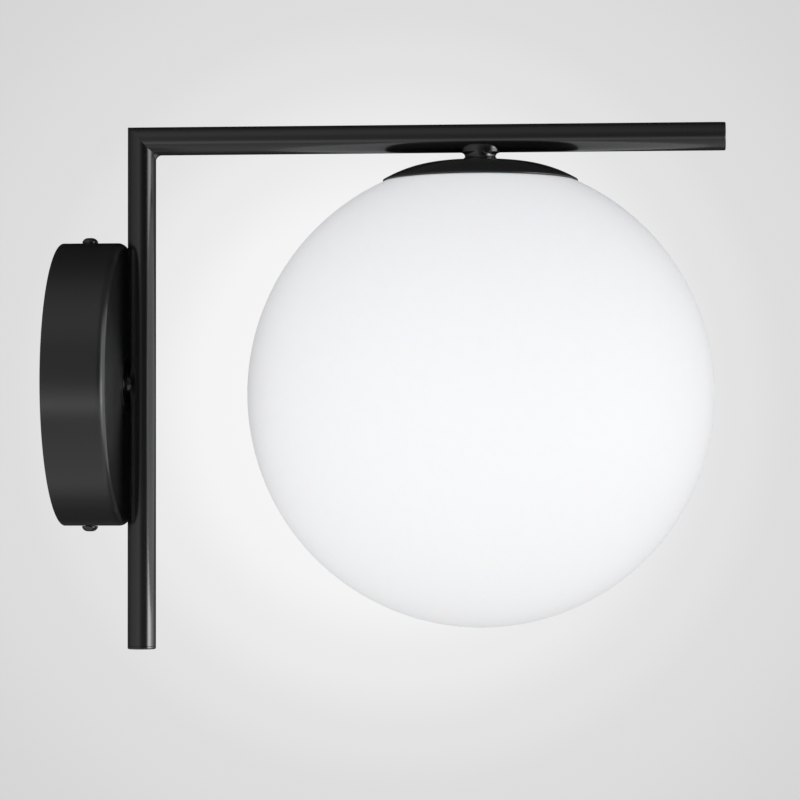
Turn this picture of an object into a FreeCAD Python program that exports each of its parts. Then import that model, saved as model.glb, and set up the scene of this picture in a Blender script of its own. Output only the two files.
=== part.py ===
"""Globe wall sconce: an opal glass globe under a black tube arm on a round wall canopy.

All lengths are in millimetres. The origin lies on the wall at the canopy's centre, X points out
from the wall, Y along it and Z up. Threads are plain cylinders at their nominal size.
"""
import FreeCAD, Part
import math
import os

# Fits and small shared sizes
THREAD_GAP = 0.03
RUNNING_GAP = 0.05
EASY_GAP = 0.1
HOLE_GAP = 0.25
SLOT_WIDTH = 0.9
SLOT_DEPTH = 0.8
CUT_MARGIN = 1.0
DIAGONAL = math.sqrt(0.5)

# Canopy, a spun steel cup
CANOPY_RADIUS = 61.0
CANOPY_DEPTH = 26.9
CANOPY_WALL = 1.0
CANOPY_RIM_FILLET = 3.0

# Tube riser and arm, mitred and welded
TUBE_RADIUS = 6.1
TUBE_WALL = 1.0
STEM_GAP = 0.57
RISER_DROP = 114.15
ARM_HEIGHT = 105.17
ARM_REACH = 285.1
PLUG_FLANGE = 1.2
PLUG_EDGE = 0.6
PLUG_SPIGOT = 8.0
WELD_LEG = 2.1
WELD_WIDTH = 5.2
WELD_ROOT = 1.6
WELD_THROAT = 0.76

# Nipple that joins the canopy to the riser, and what is stacked on it
NIPPLE_RADIUS = 4.0
NIPPLE_BORE = 3.05
NIPPLE_TAIL = 1.5
COLLAR_RADIUS = 12.0
COLLAR_EDGE = 0.15
COLLAR_HOLLOW_RADIUS = 7.14
COLLAR_HOLLOW_RISE = 0.425
COLLAR_THROAT = 5.2
COLLAR_THROAT_RISE = 1.1
COLLAR_CROWN = 4.7
COLLAR_CROWN_RISE = 2.7
REINFORCING_RADIUS = 12.0
REINFORCING_THICKNESS = 1.5
TAG_THICKNESS = 0.6
TAG_RADIUS = 8.0
TOOTHED_THICKNESS = 0.8
TOOTHED_RADIUS = 7.0
TOOTH_COUNT = 12
TOOTH_DEPTH = 1.2
TOOTH_GAP = 1.2
CANOPY_NUT_FLATS = 13.0
CANOPY_NUT_HEIGHT = 4.0
BUSH_BORE = 2.6
BUSH_FLANGE = 1.0
BUSH_SLEEVE = 4.5

# Wall bracket, a bent steel strap behind the canopy
STRAP_THICKNESS = 1.5
STRAP_WIDTH = 24.0
STRAP_SHOULDER = 51.5
TAB_WIDTH = 16.0
TAB_DEPTH = 17.0
TAB_CLEARANCE = 0.75
BEND_RADIUS = 1.5
WALL_SLOT_SPACING = 84.0
WALL_SLOT_LENGTH = 14.0
WALL_SLOT_RADIUS = 2.25
CABLE_HOLE_RADIUS = 7.0
SCREW_DEPTH = 11.0
SIDE_SCREW_RADIUS = 2.0
SIDE_SCREW_HEAD_RADIUS = 3.4
SIDE_SCREW_HEAD_HEIGHT = 2.2
SIDE_SCREW_HEAD_EDGE = 0.66
SIDE_SCREW_DOME_INSET = 0.95
SIDE_SCREW_DOME_DROP = 0.35
SIDE_SCREW_LENGTH = 6.0
SIDE_SCREW_STANDOFF = 0.1

# Earth screw and the ring terminals
EARTH_SCREW_HEIGHT = 15.0
EARTH_SCREW_RADIUS = 2.0
EARTH_HEAD_RADIUS = 3.8
EARTH_HEAD_HEIGHT = 2.4
EARTH_WASHER_THICKNESS = 0.8
EARTH_WASHER_RADIUS = 4.0
LUG_THICKNESS = 0.8
LUG_RADIUS = 4.0
LUG_TURN = -45.0
BARREL_WALL = 0.75
BARREL_LENGTH = 5.4
BARREL_START = 4.6
BARREL_OVERLAP = 1.0
TAG_BARREL_START = 12.6
NECK_STRIP_WIDTH = 3.0

# Terminal block, three poles
BLOCK_TOP = -16.0
BLOCK_LENGTH = 17.0
BLOCK_HEIGHT = 14.0
BLOCK_SIDE = 4.7
BLOCK_GROOVE_WIDTH = 1.6
BLOCK_GROOVE_DEPTH = 4.0
POLE_PITCH = 9.3
POLE_LIFT = 5.5
INSERT_RADIUS = 2.9
INSERT_BORE = 1.7
INSERT_LENGTH = 13.0
INSERT_SCREW_SPACING = 6.6
TERMINAL_SCREW_RADIUS = 1.5
TERMINAL_HEAD_RADIUS = 2.2
TERMINAL_HEAD_HEIGHT = 2.0
TERMINAL_SHANK = 2.9
BLOCK_SCREW_RADIUS = 1.5
BLOCK_SCREW_HEAD_RADIUS = 2.75
BLOCK_SCREW_HEAD_HEIGHT = 2.0
BLOCK_COUNTERBORE = 5.0

# Wires
LEAD_RADIUS = 1.05
LEAD_OFFSET = 1.25
LEAD_BEND = 6.0
LEAD_BLOCK_RUN = 3.15
LEAD_DROP = 2.0
LEAD_CLAMP_RUN = 3.5
LEAD_END_RISE = 1.5
EARTH_WIRE_RADIUS = 0.8
EARTH_WIRE_OFFSET = 0.85
EARTH_BEND = 5.0
EARTH_BLOCK_RUN = 4.0
EARTH_BARREL_RUN = 4.0
EARTH_BARREL_SEAT = 1.0
CANOPY_EARTH_BLOCK_RUN = 4.5
CANOPY_EARTH_DEPTH = 7.0
CANOPY_EARTH_SIDE = 13.5
CANOPY_EARTH_RISE = 10.0

# Neck between arm and glass cap
GLOBE_AXIS = 180.15
NECK_LENGTH = 3.92
NECK_FOOT_RADIUS = 10.0
NECK_FOOT_EDGE = 0.2
NECK_HOLLOW_RADIUS = 7.7
NECK_HOLLOW_RISE = 0.97
NECK_THROAT_RADIUS = 6.55
NECK_THROAT_RISE = 2.3
NECK_HEAD_RADIUS = 7.2
NECK_CROWN_MID_RADIUS = 6.85
NECK_CROWN_MID_RISE = 1.75
NECK_CROWN_RADIUS = 5.5
NECK_CROWN_RISE = 3.5
NECK_THREAD_DEPTH = 3.05
NECK_BORE = 3.8
HOLDER_NIPPLE_RADIUS = 5.0
HOLDER_NIPPLE_BORE = 3.6
HOLDER_NIPPLE_GAP = 0.2
HOLDER_NIPPLE_LENGTH = 14.0

# Glass cap with its gasket and clip spring
CAP_RADIUS = 42.0
CAP_DOME_RADIUS = 114.0
CAP_WALL = 0.8
CAP_SEAT_RADIUS = 10.1
CAP_HOLE_GAP = 0.15
GASKET_OUTER = 39.6
GASKET_INNER = 35.0
GASKET_LIP = 0.85
SPRING_THICKNESS = 0.6
SPRING_RING_RADIUS = 9.9
SPRING_LEG_COUNT = 3
SPRING_LEG_WIDTH = 12.0
SPRING_LEG_ROOT = 9.0
SPRING_LEG_SAG = 0.1
SPRING_KNEE_RADIUS = 31.0
SPRING_KNEE_DROP = 4.85
SPRING_MOUTH_GAP = 0.2
SPRING_CREST_REACH = 2.33
SPRING_CREST_DROP = 2.2
SPRING_TAIL_RADIUS = 31.5
SPRING_TAIL_DROP = 8.6
LOCK_WASHER_RADIUS = 8.0
LOCK_WASHER_THICKNESS = 0.8
CAP_NUT_FLATS = 14.0
CAP_NUT_HEIGHT = 3.0

# Globe
GLOBE_RADIUS = 100.0
GLOBE_WALL = 2.5
MOUTH_RADIUS = 34.5
MOUTH_GAP = 0.16

# Lampholder
HOLDER_RADIUS = 19.5
HOLDER_WALL = 1.8
HOLDER_DROP = 0.65
HOLDER_BOSS_RADIUS = 8.0
HOLDER_BOSS_HEIGHT = 3.2
HOLDER_SHOULDER_RADIUS = 17.0
HOLDER_SHOULDER_DROP = 4.8
HOLDER_ROOF = 2.5
HOLDER_CAP_HEIGHT = 21.3
HOLDER_SKIRT_HEIGHT = 31.7
HOLDER_SKIRT_CHAMFER = 3.7
HOLDER_SKIRT_NOSE = 18.5
HOLDER_THREAD_HEIGHT = 8.0
HOLDER_THREAD_WALL = 1.4
CORE_HEIGHT = 10.0
CORE_SINK = 6.0
SHELL_BORE = 13.45
SHELL_WALL = 0.35
SHELL_LENGTH = 24.0
SHELL_LIP = 10.2
SHELL_CLEARANCE = 0.8
GRUB_SCREW_RADIUS = 1.2
GRUB_SCREW_DROP = 1.6
CLAMP_OFFSET = 9.0
CLAMP_LENGTH = 7.0
CLAMP_WIDTH = 5.8
CLAMP_HEIGHT = 7.0
CLAMP_FLOOR = 1.0
CLAMP_SCREW_DROP = 3.0
CLAMP_SCREW_RADIUS = 1.4
CLAMP_HEAD_RADIUS = 2.2
CLAMP_HEAD_HEIGHT = 2.0
CLAMP_SCREW_LENGTH = 5.4
RIVET_RADIUS = 0.9
RIVET_HEAD_RADIUS = 1.5
RIVET_HEAD_HEIGHT = 0.4
LIVE_RIVET = 7.6
NEUTRAL_RIVET = 11.6
TONGUE_THICKNESS = 0.3
TONGUE_WIDTH = 6.0
TONGUE_ROOT = 9.2
TONGUE_BEND = 5.5
TONGUE_TIP = 3.5
TONGUE_DIP = 0.6

# Bulb
BULB_CONTACT_GAP = 0.1
BULB_CONTACT_RADIUS = 4.5
BULB_CONTACT_HEIGHT = 1.0
INSULATOR_HEIGHT = 2.5
INSULATOR_TOP = 5.5
INSULATOR_BASE = 11.5
SCREW_CAP_RADIUS = 13.1
SCREW_CAP_WALL = 0.3
SCREW_CAP_LENGTH = 22.5
SCREW_CAP_TOP_RADIUS = 11.9
THREAD_PITCH = 3.629
THREAD_GROOVE = 0.2
THREAD_GROOVES = 4
BULB_LENGTH = 105.7
BULB_RADIUS = 30.0
BULB_NECK_RADIUS = 14.0
BULB_JOINT_RISE = 10.7
BULB_HOLLOW = 1.0
BULB_WALL = 1.2
BULB_NECK_INSERT = 9.0
HEAT_PLATE_THICKNESS = 1.5
HEAT_PLATE_RISE = 4.0
HEAT_PLATE_GAP = 1.0
LED_BOARD_RADIUS = 23.0
LED_BOARD_THICKNESS = 1.6
LED_SIZE = 3.0
LED_HEIGHT = 0.8
LED_COUNT = 10
LED_CIRCLE = 17.0
DRIVER_WIDTH = 18.0
DRIVER_THICKNESS = 1.6
DRIVER_HEIGHT = 34.0

# Heights and places that follow from the sizes above
TUBE_BORE = TUBE_RADIUS - TUBE_WALL
RISER_AXIS = CANOPY_DEPTH + STEM_GAP + TUBE_RADIUS
CANOPY_INSIDE = CANOPY_DEPTH - CANOPY_WALL
NIPPLE_FRONT = RISER_AXIS - math.sqrt(TUBE_BORE ** 2 - NIPPLE_RADIUS ** 2)
TAG_BACK = CANOPY_INSIDE - REINFORCING_THICKNESS - TAG_THICKNESS
TOOTHED_BACK = TAG_BACK - TOOTHED_THICKNESS
CANOPY_NUT_BACK = TOOTHED_BACK - CANOPY_NUT_HEIGHT
NIPPLE_BACK = CANOPY_NUT_BACK - NIPPLE_TAIL
TAB_OUTSIDE = math.sqrt((CANOPY_RADIUS - CANOPY_WALL - TAB_CLEARANCE) ** 2 - (TAB_WIDTH / 2) ** 2)
BLOCK_BOTTOM = BLOCK_TOP - BLOCK_LENGTH
BLOCK_MIDDLE = BLOCK_TOP - BLOCK_LENGTH / 2
BLOCK_FRONT = STRAP_THICKNESS + BLOCK_HEIGHT
POLE_DEPTH = STRAP_THICKNESS + POLE_LIFT
ARM_UNDERSIDE = ARM_HEIGHT - TUBE_RADIUS
CAP_SEAT = ARM_UNDERSIDE - NECK_LENGTH
HOLDER_NIPPLE_TOP = CAP_SEAT + NECK_THREAD_DEPTH - HOLDER_NIPPLE_GAP
HOLDER_NIPPLE_END = HOLDER_NIPPLE_TOP - HOLDER_NIPPLE_LENGTH
CAP_UNDERSIDE = CAP_SEAT - CAP_WALL
SPRING_UNDERSIDE = CAP_UNDERSIDE - SPRING_THICKNESS
LOCK_WASHER_BOTTOM = SPRING_UNDERSIDE - LOCK_WASHER_THICKNESS
CAP_NUT_BOTTOM = LOCK_WASHER_BOTTOM - CAP_NUT_HEIGHT
HOLDER_TOP = CAP_NUT_BOTTOM - HOLDER_DROP
HOLDER_SPLIT = HOLDER_TOP - HOLDER_CAP_HEIGHT
HOLDER_BOTTOM = HOLDER_SPLIT - HOLDER_SKIRT_HEIGHT
CORE_BOTTOM = HOLDER_SPLIT - CORE_SINK
CORE_TOP = CORE_BOTTOM + CORE_HEIGHT
CORE_RADIUS = HOLDER_RADIUS - HOLDER_WALL - EASY_GAP - HOLDER_THREAD_WALL - EASY_GAP
SKIRT_BORE = SHELL_BORE + SHELL_WALL + SHELL_CLEARANCE
CLAMP_BOTTOM = CORE_TOP - CLAMP_HEIGHT
TONGUE_LEVEL = CORE_BOTTOM - TONGUE_THICKNESS / 2
BULB_TOP = TONGUE_LEVEL - TONGUE_DIP - TONGUE_THICKNESS / 2 - BULB_CONTACT_GAP
INSULATOR_LEVEL = BULB_TOP - BULB_CONTACT_HEIGHT
SCREW_CAP_TOP = INSULATOR_LEVEL - INSULATOR_HEIGHT
SCREW_CAP_BOTTOM = SCREW_CAP_TOP - SCREW_CAP_LENGTH
BULB_BOTTOM = BULB_TOP - BULB_LENGTH
BULB_CENTRE = BULB_BOTTOM + BULB_RADIUS
BULB_JOINT = BULB_CENTRE + BULB_JOINT_RISE
BULB_JOINT_RADIUS = math.sqrt(BULB_RADIUS ** 2 - BULB_JOINT_RISE ** 2)
HEAT_PLATE_BOTTOM = BULB_JOINT + HEAT_PLATE_RISE
HEAT_PLATE_TOP = HEAT_PLATE_BOTTOM + HEAT_PLATE_THICKNESS

AXIS_X = FreeCAD.Vector(1, 0, 0)
AXIS_Y = FreeCAD.Vector(0, 1, 0)
AXIS_Z = FreeCAD.Vector(0, 0, 1)


def vec(x, y, z):
    """A point or direction."""
    return FreeCAD.Vector(x, y, z)


def block(low, high):
    """A box between two corners."""
    return Part.makeBox(high[0] - low[0], high[1] - low[1], high[2] - low[2], vec(*low))


def rod(radius, start, end):
    """A round bar from one point to another."""
    start = vec(*start)
    run = vec(*end) - start
    return Part.makeCylinder(radius, run.Length, start, run)


def ring(outer, inner, start, end):
    """A round bar with a bore."""
    return rod(outer, start, end).cut(rod(inner, start, end))


def hexagon_nut(flats, bore, start, end):
    """A hexagonal nut from one point to another, its corners chamfered."""
    start = vec(*start)
    run = vec(*end) - start
    corner = flats / math.sqrt(3)
    points = []
    for step in range(7):
        angle = math.radians(60 * step)
        points.append(vec(corner * math.cos(angle), corner * math.sin(angle), 0))
    nut = Part.Face(Part.makePolygon(points)).extrude(vec(0, 0, run.Length))
    chamfer = corner - flats / 2
    cone_low = Part.makeCone(corner - chamfer, corner, chamfer)
    middle = Part.makeCylinder(corner, run.Length - 2 * chamfer, vec(0, 0, chamfer))
    cone_high = Part.makeCone(corner, corner - chamfer, chamfer, vec(0, 0, run.Length - chamfer))
    nut = nut.common(cone_low.fuse([middle, cone_high]).removeSplitter())
    nut = nut.cut(Part.makeCylinder(bore, run.Length))
    nut.Placement = FreeCAD.Placement(start, FreeCAD.Rotation(AXIS_Z, run))
    return nut


def outline(moves):
    """A closed flat face in X and Z. A move is an end point, or a middle and an end point for an arc."""
    edges = []
    here = vec(moves[0][0], 0, moves[0][1])
    for move in moves[1:] + [moves[0]]:
        if len(move) == 4:
            middle = vec(move[0], 0, move[1])
            there = vec(move[2], 0, move[3])
            edges.append(Part.Arc(here, middle, there).toShape())
        else:
            there = vec(move[0], 0, move[1])
            if (there - here).Length > 1e-6:
                edges.append(Part.LineSegment(here, there).toShape())
        here = there
    return Part.Face(Part.Wire(edges))


def turned_z(moves, axis_x):
    """A body turned about a vertical axis from an outline of radius and height."""
    face = outline(moves)
    face.translate(vec(axis_x, 0, 0))
    return face.revolve(vec(axis_x, 0, 0), AXIS_Z, 360)


def turned_x(moves):
    """A body turned about the X axis from an outline of radius and depth."""
    solid = outline(moves).revolve(vec(0, 0, 0), AXIS_Z, 360)
    solid.rotate(vec(0, 0, 0), AXIS_Y, 90)
    return solid


def ribbon(points, thickness, width):
    """A bent strip along a line of points in X and Z, its thickness square to the line."""
    sides = ([], [])
    for index, point in enumerate(points):
        before = points[max(index - 1, 0)]
        after = points[min(index + 1, len(points) - 1)]
        normals = []
        for first, second in ((before, point), (point, after)):
            run = vec(second[0] - first[0], 0, second[1] - first[1])
            if run.Length > 0:
                run.normalize()
                normals.append(vec(-run.z, 0, run.x))
        normal = normals[0] + normals[-1]
        normal.normalize()
        half = thickness / 2 / normal.dot(normals[0])
        sides[0].append(vec(point[0], 0, point[1]) + normal * half)
        sides[1].append(vec(point[0], 0, point[1]) - normal * half)
    corners = sides[0] + sides[1][::-1]
    face = Part.Face(Part.makePolygon(corners + [corners[0]]))
    face.translate(vec(0, -width / 2, 0))
    return face.extrude(vec(0, width, 0))


def wire(name, points, radius, bend):
    """An insulated wire: straight runs joined by tangent arcs, swept as one tube."""
    points = [vec(*point) for point in points]
    edges = []
    here = points[0]
    for index in range(1, len(points) - 1):
        corner = points[index]
        back = (points[index - 1] - corner).normalize()
        ahead = (points[index + 1] - corner).normalize()
        turn = math.pi - back.getAngle(ahead)
        trim = bend * math.tan(turn / 2)
        entry = corner + back * trim
        leave = corner + ahead * trim
        inward = (back + ahead).normalize()
        centre = corner + inward * (bend / math.cos(turn / 2))
        middle = centre - inward * bend
        edges.append(Part.LineSegment(here, entry).toShape())
        edges.append(Part.Arc(entry, middle, leave).toShape())
        here = leave
    edges.append(Part.LineSegment(here, points[-1]).toShape())
    path = Part.Wire(edges)
    section = Part.Wire(Part.makeCircle(radius, points[0], points[1] - points[0]))
    tube = path.makePipeShell([section], True, False)
    if tube.Volume < 0:
        tube.reverse()
    ratio = tube.Volume / (math.pi * radius ** 2 * path.Length)
    print(f"{name}: length {path.Length:.1f}, bends {bend:.1f}, volume over section x length {ratio:.4f}")
    return tube


def slotted(screw, at, outward, length):
    """A screw with a driver slot cut across its head's outer face."""
    outward = vec(*outward)
    slot = block((-length, -SLOT_WIDTH / 2, -SLOT_DEPTH), (length, SLOT_WIDTH / 2, SLOT_DEPTH))
    slot.Placement = FreeCAD.Placement(vec(*at), FreeCAD.Rotation(AXIS_Z, outward))
    return screw.cut(slot)


def canopy():
    """The spun cup with a rounded rim, the nipple's hole and the two side screw holes."""
    inner_radius = CANOPY_RADIUS - CANOPY_WALL
    corner_radius = CANOPY_RADIUS - CANOPY_RIM_FILLET
    corner_depth = CANOPY_DEPTH - CANOPY_RIM_FILLET
    inner_fillet = CANOPY_RIM_FILLET - CANOPY_WALL
    hole = NIPPLE_RADIUS + EASY_GAP
    cup = turned_x([
        (hole, CANOPY_INSIDE),
        (hole, CANOPY_DEPTH),
        (corner_radius, CANOPY_DEPTH),
        (corner_radius + CANOPY_RIM_FILLET * DIAGONAL, corner_depth + CANOPY_RIM_FILLET * DIAGONAL,
         CANOPY_RADIUS, corner_depth),
        (CANOPY_RADIUS, 0),
        (inner_radius, 0),
        (inner_radius, corner_depth),
        (corner_radius + inner_fillet * DIAGONAL, corner_depth + inner_fillet * DIAGONAL,
         corner_radius, CANOPY_INSIDE),
    ])
    far = CANOPY_RADIUS + CUT_MARGIN
    return cup.cut(rod(SIDE_SCREW_RADIUS + HOLE_GAP, (SCREW_DEPTH, 0, -far), (SCREW_DEPTH, 0, far)))


def canopy_screw(side):
    """A dome-headed side screw, +1 for the top one and -1 for the bottom one."""
    base = CANOPY_RADIUS + SIDE_SCREW_STANDOFF
    tip = base - SIDE_SCREW_LENGTH
    top = base + SIDE_SCREW_HEAD_HEIGHT
    screw = turned_z([
        (0, tip),
        (SIDE_SCREW_RADIUS, tip),
        (SIDE_SCREW_RADIUS, base),
        (SIDE_SCREW_HEAD_RADIUS, base),
        (SIDE_SCREW_HEAD_RADIUS, base + SIDE_SCREW_HEAD_EDGE),
        (SIDE_SCREW_HEAD_RADIUS - SIDE_SCREW_DOME_INSET, top - SIDE_SCREW_DOME_DROP, 0, top),
    ], 0)
    screw = slotted(screw, (0, 0, top), (0, 0, 1), SIDE_SCREW_HEAD_RADIUS)
    if side < 0:
        screw.rotate(vec(0, 0, 0), AXIS_X, 180)
    screw.translate(vec(SCREW_DEPTH, 0, 0))
    return screw


def bend_edges(solid, depth, height):
    """The edges along Y at one depth and at a height above and below the middle."""
    found = []
    for edge in solid.Edges:
        middle = edge.CenterOfMass
        if abs(middle.x - depth) < 1e-6 and abs(abs(middle.z) - height) < 1e-6 and abs(middle.y) < 1e-6:
            found.append(edge)
    return found


def bent_strap():
    """The strap's side view, its two tabs bent up, as a bar of the strap's full width."""
    half = STRAP_WIDTH / 2
    t = STRAP_THICKNESS
    inside = TAB_OUTSIDE - t
    corners = [
        (0, -TAB_OUTSIDE), (0, TAB_OUTSIDE), (TAB_DEPTH, TAB_OUTSIDE), (TAB_DEPTH, inside),
        (t, inside), (t, -inside), (TAB_DEPTH, -inside), (TAB_DEPTH, -TAB_OUTSIDE), (0, -TAB_OUTSIDE),
    ]
    section = Part.makePolygon([vec(x, -half, z) for x, z in corners])
    strap = Part.Face(section).extrude(vec(0, STRAP_WIDTH, 0))
    strap = strap.makeFillet(BEND_RADIUS + t, bend_edges(strap, 0, TAB_OUTSIDE))
    return strap.makeFillet(BEND_RADIUS, bend_edges(strap, t, inside))


def strap_plan():
    """The strap's outline seen from the room, narrower at the tabs, as a thick plate."""
    half = STRAP_WIDTH / 2
    tab = TAB_WIDTH / 2
    shoulder = STRAP_SHOULDER
    neck = shoulder + half - tab
    far = TAB_OUTSIDE + CUT_MARGIN
    corners = [(half, shoulder), (tab, neck), (tab, far), (-tab, far), (-tab, neck), (-half, shoulder)]
    corners += [(-y, -z) for y, z in corners]
    points = [vec(-CUT_MARGIN, y, z) for y, z in corners + corners[:1]]
    return Part.Face(Part.makePolygon(points)).extrude(vec(TAB_DEPTH + 2 * CUT_MARGIN, 0, 0))


def wall_bracket():
    """The strap with two bent tabs, slots for the wall screws and the tapped holes."""
    back = -CUT_MARGIN
    front = STRAP_THICKNESS + CUT_MARGIN
    far = TAB_OUTSIDE + CUT_MARGIN
    holes = [
        (CABLE_HOLE_RADIUS, 0, 0),
        (EARTH_SCREW_RADIUS + RUNNING_GAP, 0, EARTH_SCREW_HEIGHT),
        (BLOCK_SCREW_RADIUS + RUNNING_GAP, POLE_PITCH / 2, BLOCK_MIDDLE),
    ]
    cuts = [rod(SIDE_SCREW_RADIUS + RUNNING_GAP, (SCREW_DEPTH, 0, -far), (SCREW_DEPTH, 0, far))]
    reach = WALL_SLOT_LENGTH / 2 - WALL_SLOT_RADIUS
    for side in (-1, 1):
        low = side * WALL_SLOT_SPACING / 2 - reach
        high = low + 2 * reach
        holes.append((WALL_SLOT_RADIUS, 0, low))
        holes.append((WALL_SLOT_RADIUS, 0, high))
        cuts.append(block((back, -WALL_SLOT_RADIUS, low), (front, WALL_SLOT_RADIUS, high)))
    for radius, y, z in holes:
        cuts.append(rod(radius, (back, y, z), (front, y, z)))
    return bent_strap().common(strap_plan()).cut(cuts)


def ring_terminal(hole, radius, thickness, barrel_start, barrel_lift):
    """A crimp terminal lying at X 0 round the X axis, its barrel along +Y."""
    plate = rod(radius, (0, 0, 0), (thickness, 0, 0))
    strip_end = barrel_start + BARREL_OVERLAP
    plate = plate.fuse(block((0, 0, -NECK_STRIP_WIDTH / 2), (thickness, strip_end, NECK_STRIP_WIDTH / 2)))
    plate = plate.cut(rod(hole, (-CUT_MARGIN, 0, 0), (thickness + CUT_MARGIN, 0, 0)))
    bore = EARTH_WIRE_RADIUS + RUNNING_GAP
    start = (barrel_lift, barrel_start, 0)
    end = (barrel_lift, barrel_start + BARREL_LENGTH, 0)
    barrel = rod(bore + BARREL_WALL, start, end)
    return plate.fuse(barrel).cut(rod(bore, start, end)).removeSplitter()


def bracket_earth_lug():
    """The ring terminal under the earth screw, turned to clear the cable hole."""
    lift = EARTH_WIRE_RADIUS + RUNNING_GAP + BARREL_WALL
    hole = EARTH_SCREW_RADIUS + HOLE_GAP
    lug = ring_terminal(hole, LUG_RADIUS, LUG_THICKNESS, BARREL_START, lift)
    lug.rotate(vec(0, 0, 0), AXIS_X, LUG_TURN)
    lug.translate(vec(STRAP_THICKNESS, 0, EARTH_SCREW_HEIGHT))
    return lug


def earth_washer():
    """The plain washer between the ring terminal and the earth screw's head."""
    back = STRAP_THICKNESS + LUG_THICKNESS
    z = EARTH_SCREW_HEIGHT
    hole = EARTH_SCREW_RADIUS + HOLE_GAP
    return ring(EARTH_WASHER_RADIUS, hole, (back, 0, z), (back + EARTH_WASHER_THICKNESS, 0, z))


def flat_screw(radius, head_radius, head_height, tip, seat, y, z):
    """A slotted cheese-head screw along X, its tip and its head's seat given as depths."""
    screw = rod(radius, (tip, y, z), (seat, y, z))
    screw = screw.fuse(rod(head_radius, (seat, y, z), (seat + head_height, y, z))).removeSplitter()
    return slotted(screw, (seat + head_height, y, z), (1, 0, 0), head_radius)


def earth_screw():
    """The earth screw in the bracket; its tip stays behind the wall plane."""
    seat = STRAP_THICKNESS + LUG_THICKNESS + EARTH_WASHER_THICKNESS
    return flat_screw(EARTH_SCREW_RADIUS, EARTH_HEAD_RADIUS, EARTH_HEAD_HEIGHT, HOLE_GAP, seat, 0,
                      EARTH_SCREW_HEIGHT)


def pole_places():
    """The Y places of the terminal block's poles."""
    return [-POLE_PITCH, 0, POLE_PITCH]


def clamp_levels():
    """The heights of the two clamp screws of a pole."""
    return [BLOCK_MIDDLE - INSERT_SCREW_SPACING / 2, BLOCK_MIDDLE + INSERT_SCREW_SPACING / 2]


def terminal_block():
    """The moulded three-pole body with wire ways, insert seats and screw wells."""
    half = POLE_PITCH + BLOCK_SIDE
    back = STRAP_THICKNESS
    body = block((back, -half, BLOCK_BOTTOM), (BLOCK_FRONT, half, BLOCK_TOP))
    front = BLOCK_FRONT + CUT_MARGIN
    low = BLOCK_BOTTOM - CUT_MARGIN
    high = BLOCK_TOP + CUT_MARGIN
    reach = INSERT_LENGTH / 2 + RUNNING_GAP
    cuts = []
    for y in pole_places():
        cuts.append(rod(INSERT_RADIUS + RUNNING_GAP, (POLE_DEPTH, y, BLOCK_MIDDLE - reach),
                        (POLE_DEPTH, y, BLOCK_MIDDLE + reach)))
        cuts.append(rod(INSERT_BORE, (POLE_DEPTH, y, low), (POLE_DEPTH, y, high)))
        for z in clamp_levels():
            cuts.append(rod(TERMINAL_HEAD_RADIUS + EASY_GAP, (POLE_DEPTH, y, z), (front, y, z)))
    groove = BLOCK_GROOVE_WIDTH / 2
    for y in (-POLE_PITCH / 2, POLE_PITCH / 2):
        cuts.append(block((BLOCK_FRONT - BLOCK_GROOVE_DEPTH, y - groove, low), (front, y + groove, high)))
    y = POLE_PITCH / 2
    z = BLOCK_MIDDLE
    seat = BLOCK_FRONT - BLOCK_COUNTERBORE
    cuts.append(rod(BLOCK_SCREW_RADIUS + EASY_GAP, (back - CUT_MARGIN, y, z), (front, y, z)))
    cuts.append(rod(BLOCK_SCREW_HEAD_RADIUS + EASY_GAP, (seat, y, z), (front, y, z)))
    return body.cut(cuts)


def terminal_inserts():
    """The brass tubes that the wires end in."""
    inserts = []
    half = INSERT_LENGTH / 2
    for y in pole_places():
        insert = ring(INSERT_RADIUS, INSERT_BORE, (POLE_DEPTH, y, BLOCK_MIDDLE - half),
                      (POLE_DEPTH, y, BLOCK_MIDDLE + half))
        for z in clamp_levels():
            way = TERMINAL_SCREW_RADIUS + RUNNING_GAP
            insert = insert.cut(rod(way, (POLE_DEPTH, y, z), (POLE_DEPTH + INSERT_RADIUS + CUT_MARGIN, y, z)))
        inserts.append(insert)
    return Part.makeCompound(inserts)


def terminal_screws():
    """Two clamp screws in each pole, their tips just above the wire."""
    screws = []
    tip = POLE_DEPTH + LEAD_RADIUS + RUNNING_GAP
    for y in pole_places():
        for z in clamp_levels():
            screws.append(flat_screw(TERMINAL_SCREW_RADIUS, TERMINAL_HEAD_RADIUS, TERMINAL_HEAD_HEIGHT,
                                     tip, tip + TERMINAL_SHANK, y, z))
    return Part.makeCompound(screws)


def terminal_block_screw():
    """The screw that holds the terminal block to the strap."""
    return flat_screw(BLOCK_SCREW_RADIUS, BLOCK_SCREW_HEAD_RADIUS, BLOCK_SCREW_HEAD_HEIGHT, HOLE_GAP,
                      BLOCK_FRONT - BLOCK_COUNTERBORE, POLE_PITCH / 2, BLOCK_MIDDLE)


def canopy_nipple():
    """The threaded tube that runs from inside the canopy into the riser's back wall."""
    return ring(NIPPLE_RADIUS, NIPPLE_BORE, (NIPPLE_BACK, 0, 0), (NIPPLE_FRONT, 0, 0))


def stem_collar():
    """The flared collar on the canopy's face, hollowed to sit round the riser's back."""
    face = CANOPY_DEPTH
    hole = NIPPLE_RADIUS + EASY_GAP
    flare = turned_x([
        (hole, face),
        (COLLAR_RADIUS, face),
        (COLLAR_RADIUS, face + COLLAR_EDGE),
        (COLLAR_HOLLOW_RADIUS, face + COLLAR_HOLLOW_RISE, COLLAR_THROAT, face + COLLAR_THROAT_RISE),
        (COLLAR_CROWN, face + COLLAR_CROWN_RISE),
        (hole, face + COLLAR_CROWN_RISE),
    ])
    return flare.cut(riser_rod())


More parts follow.
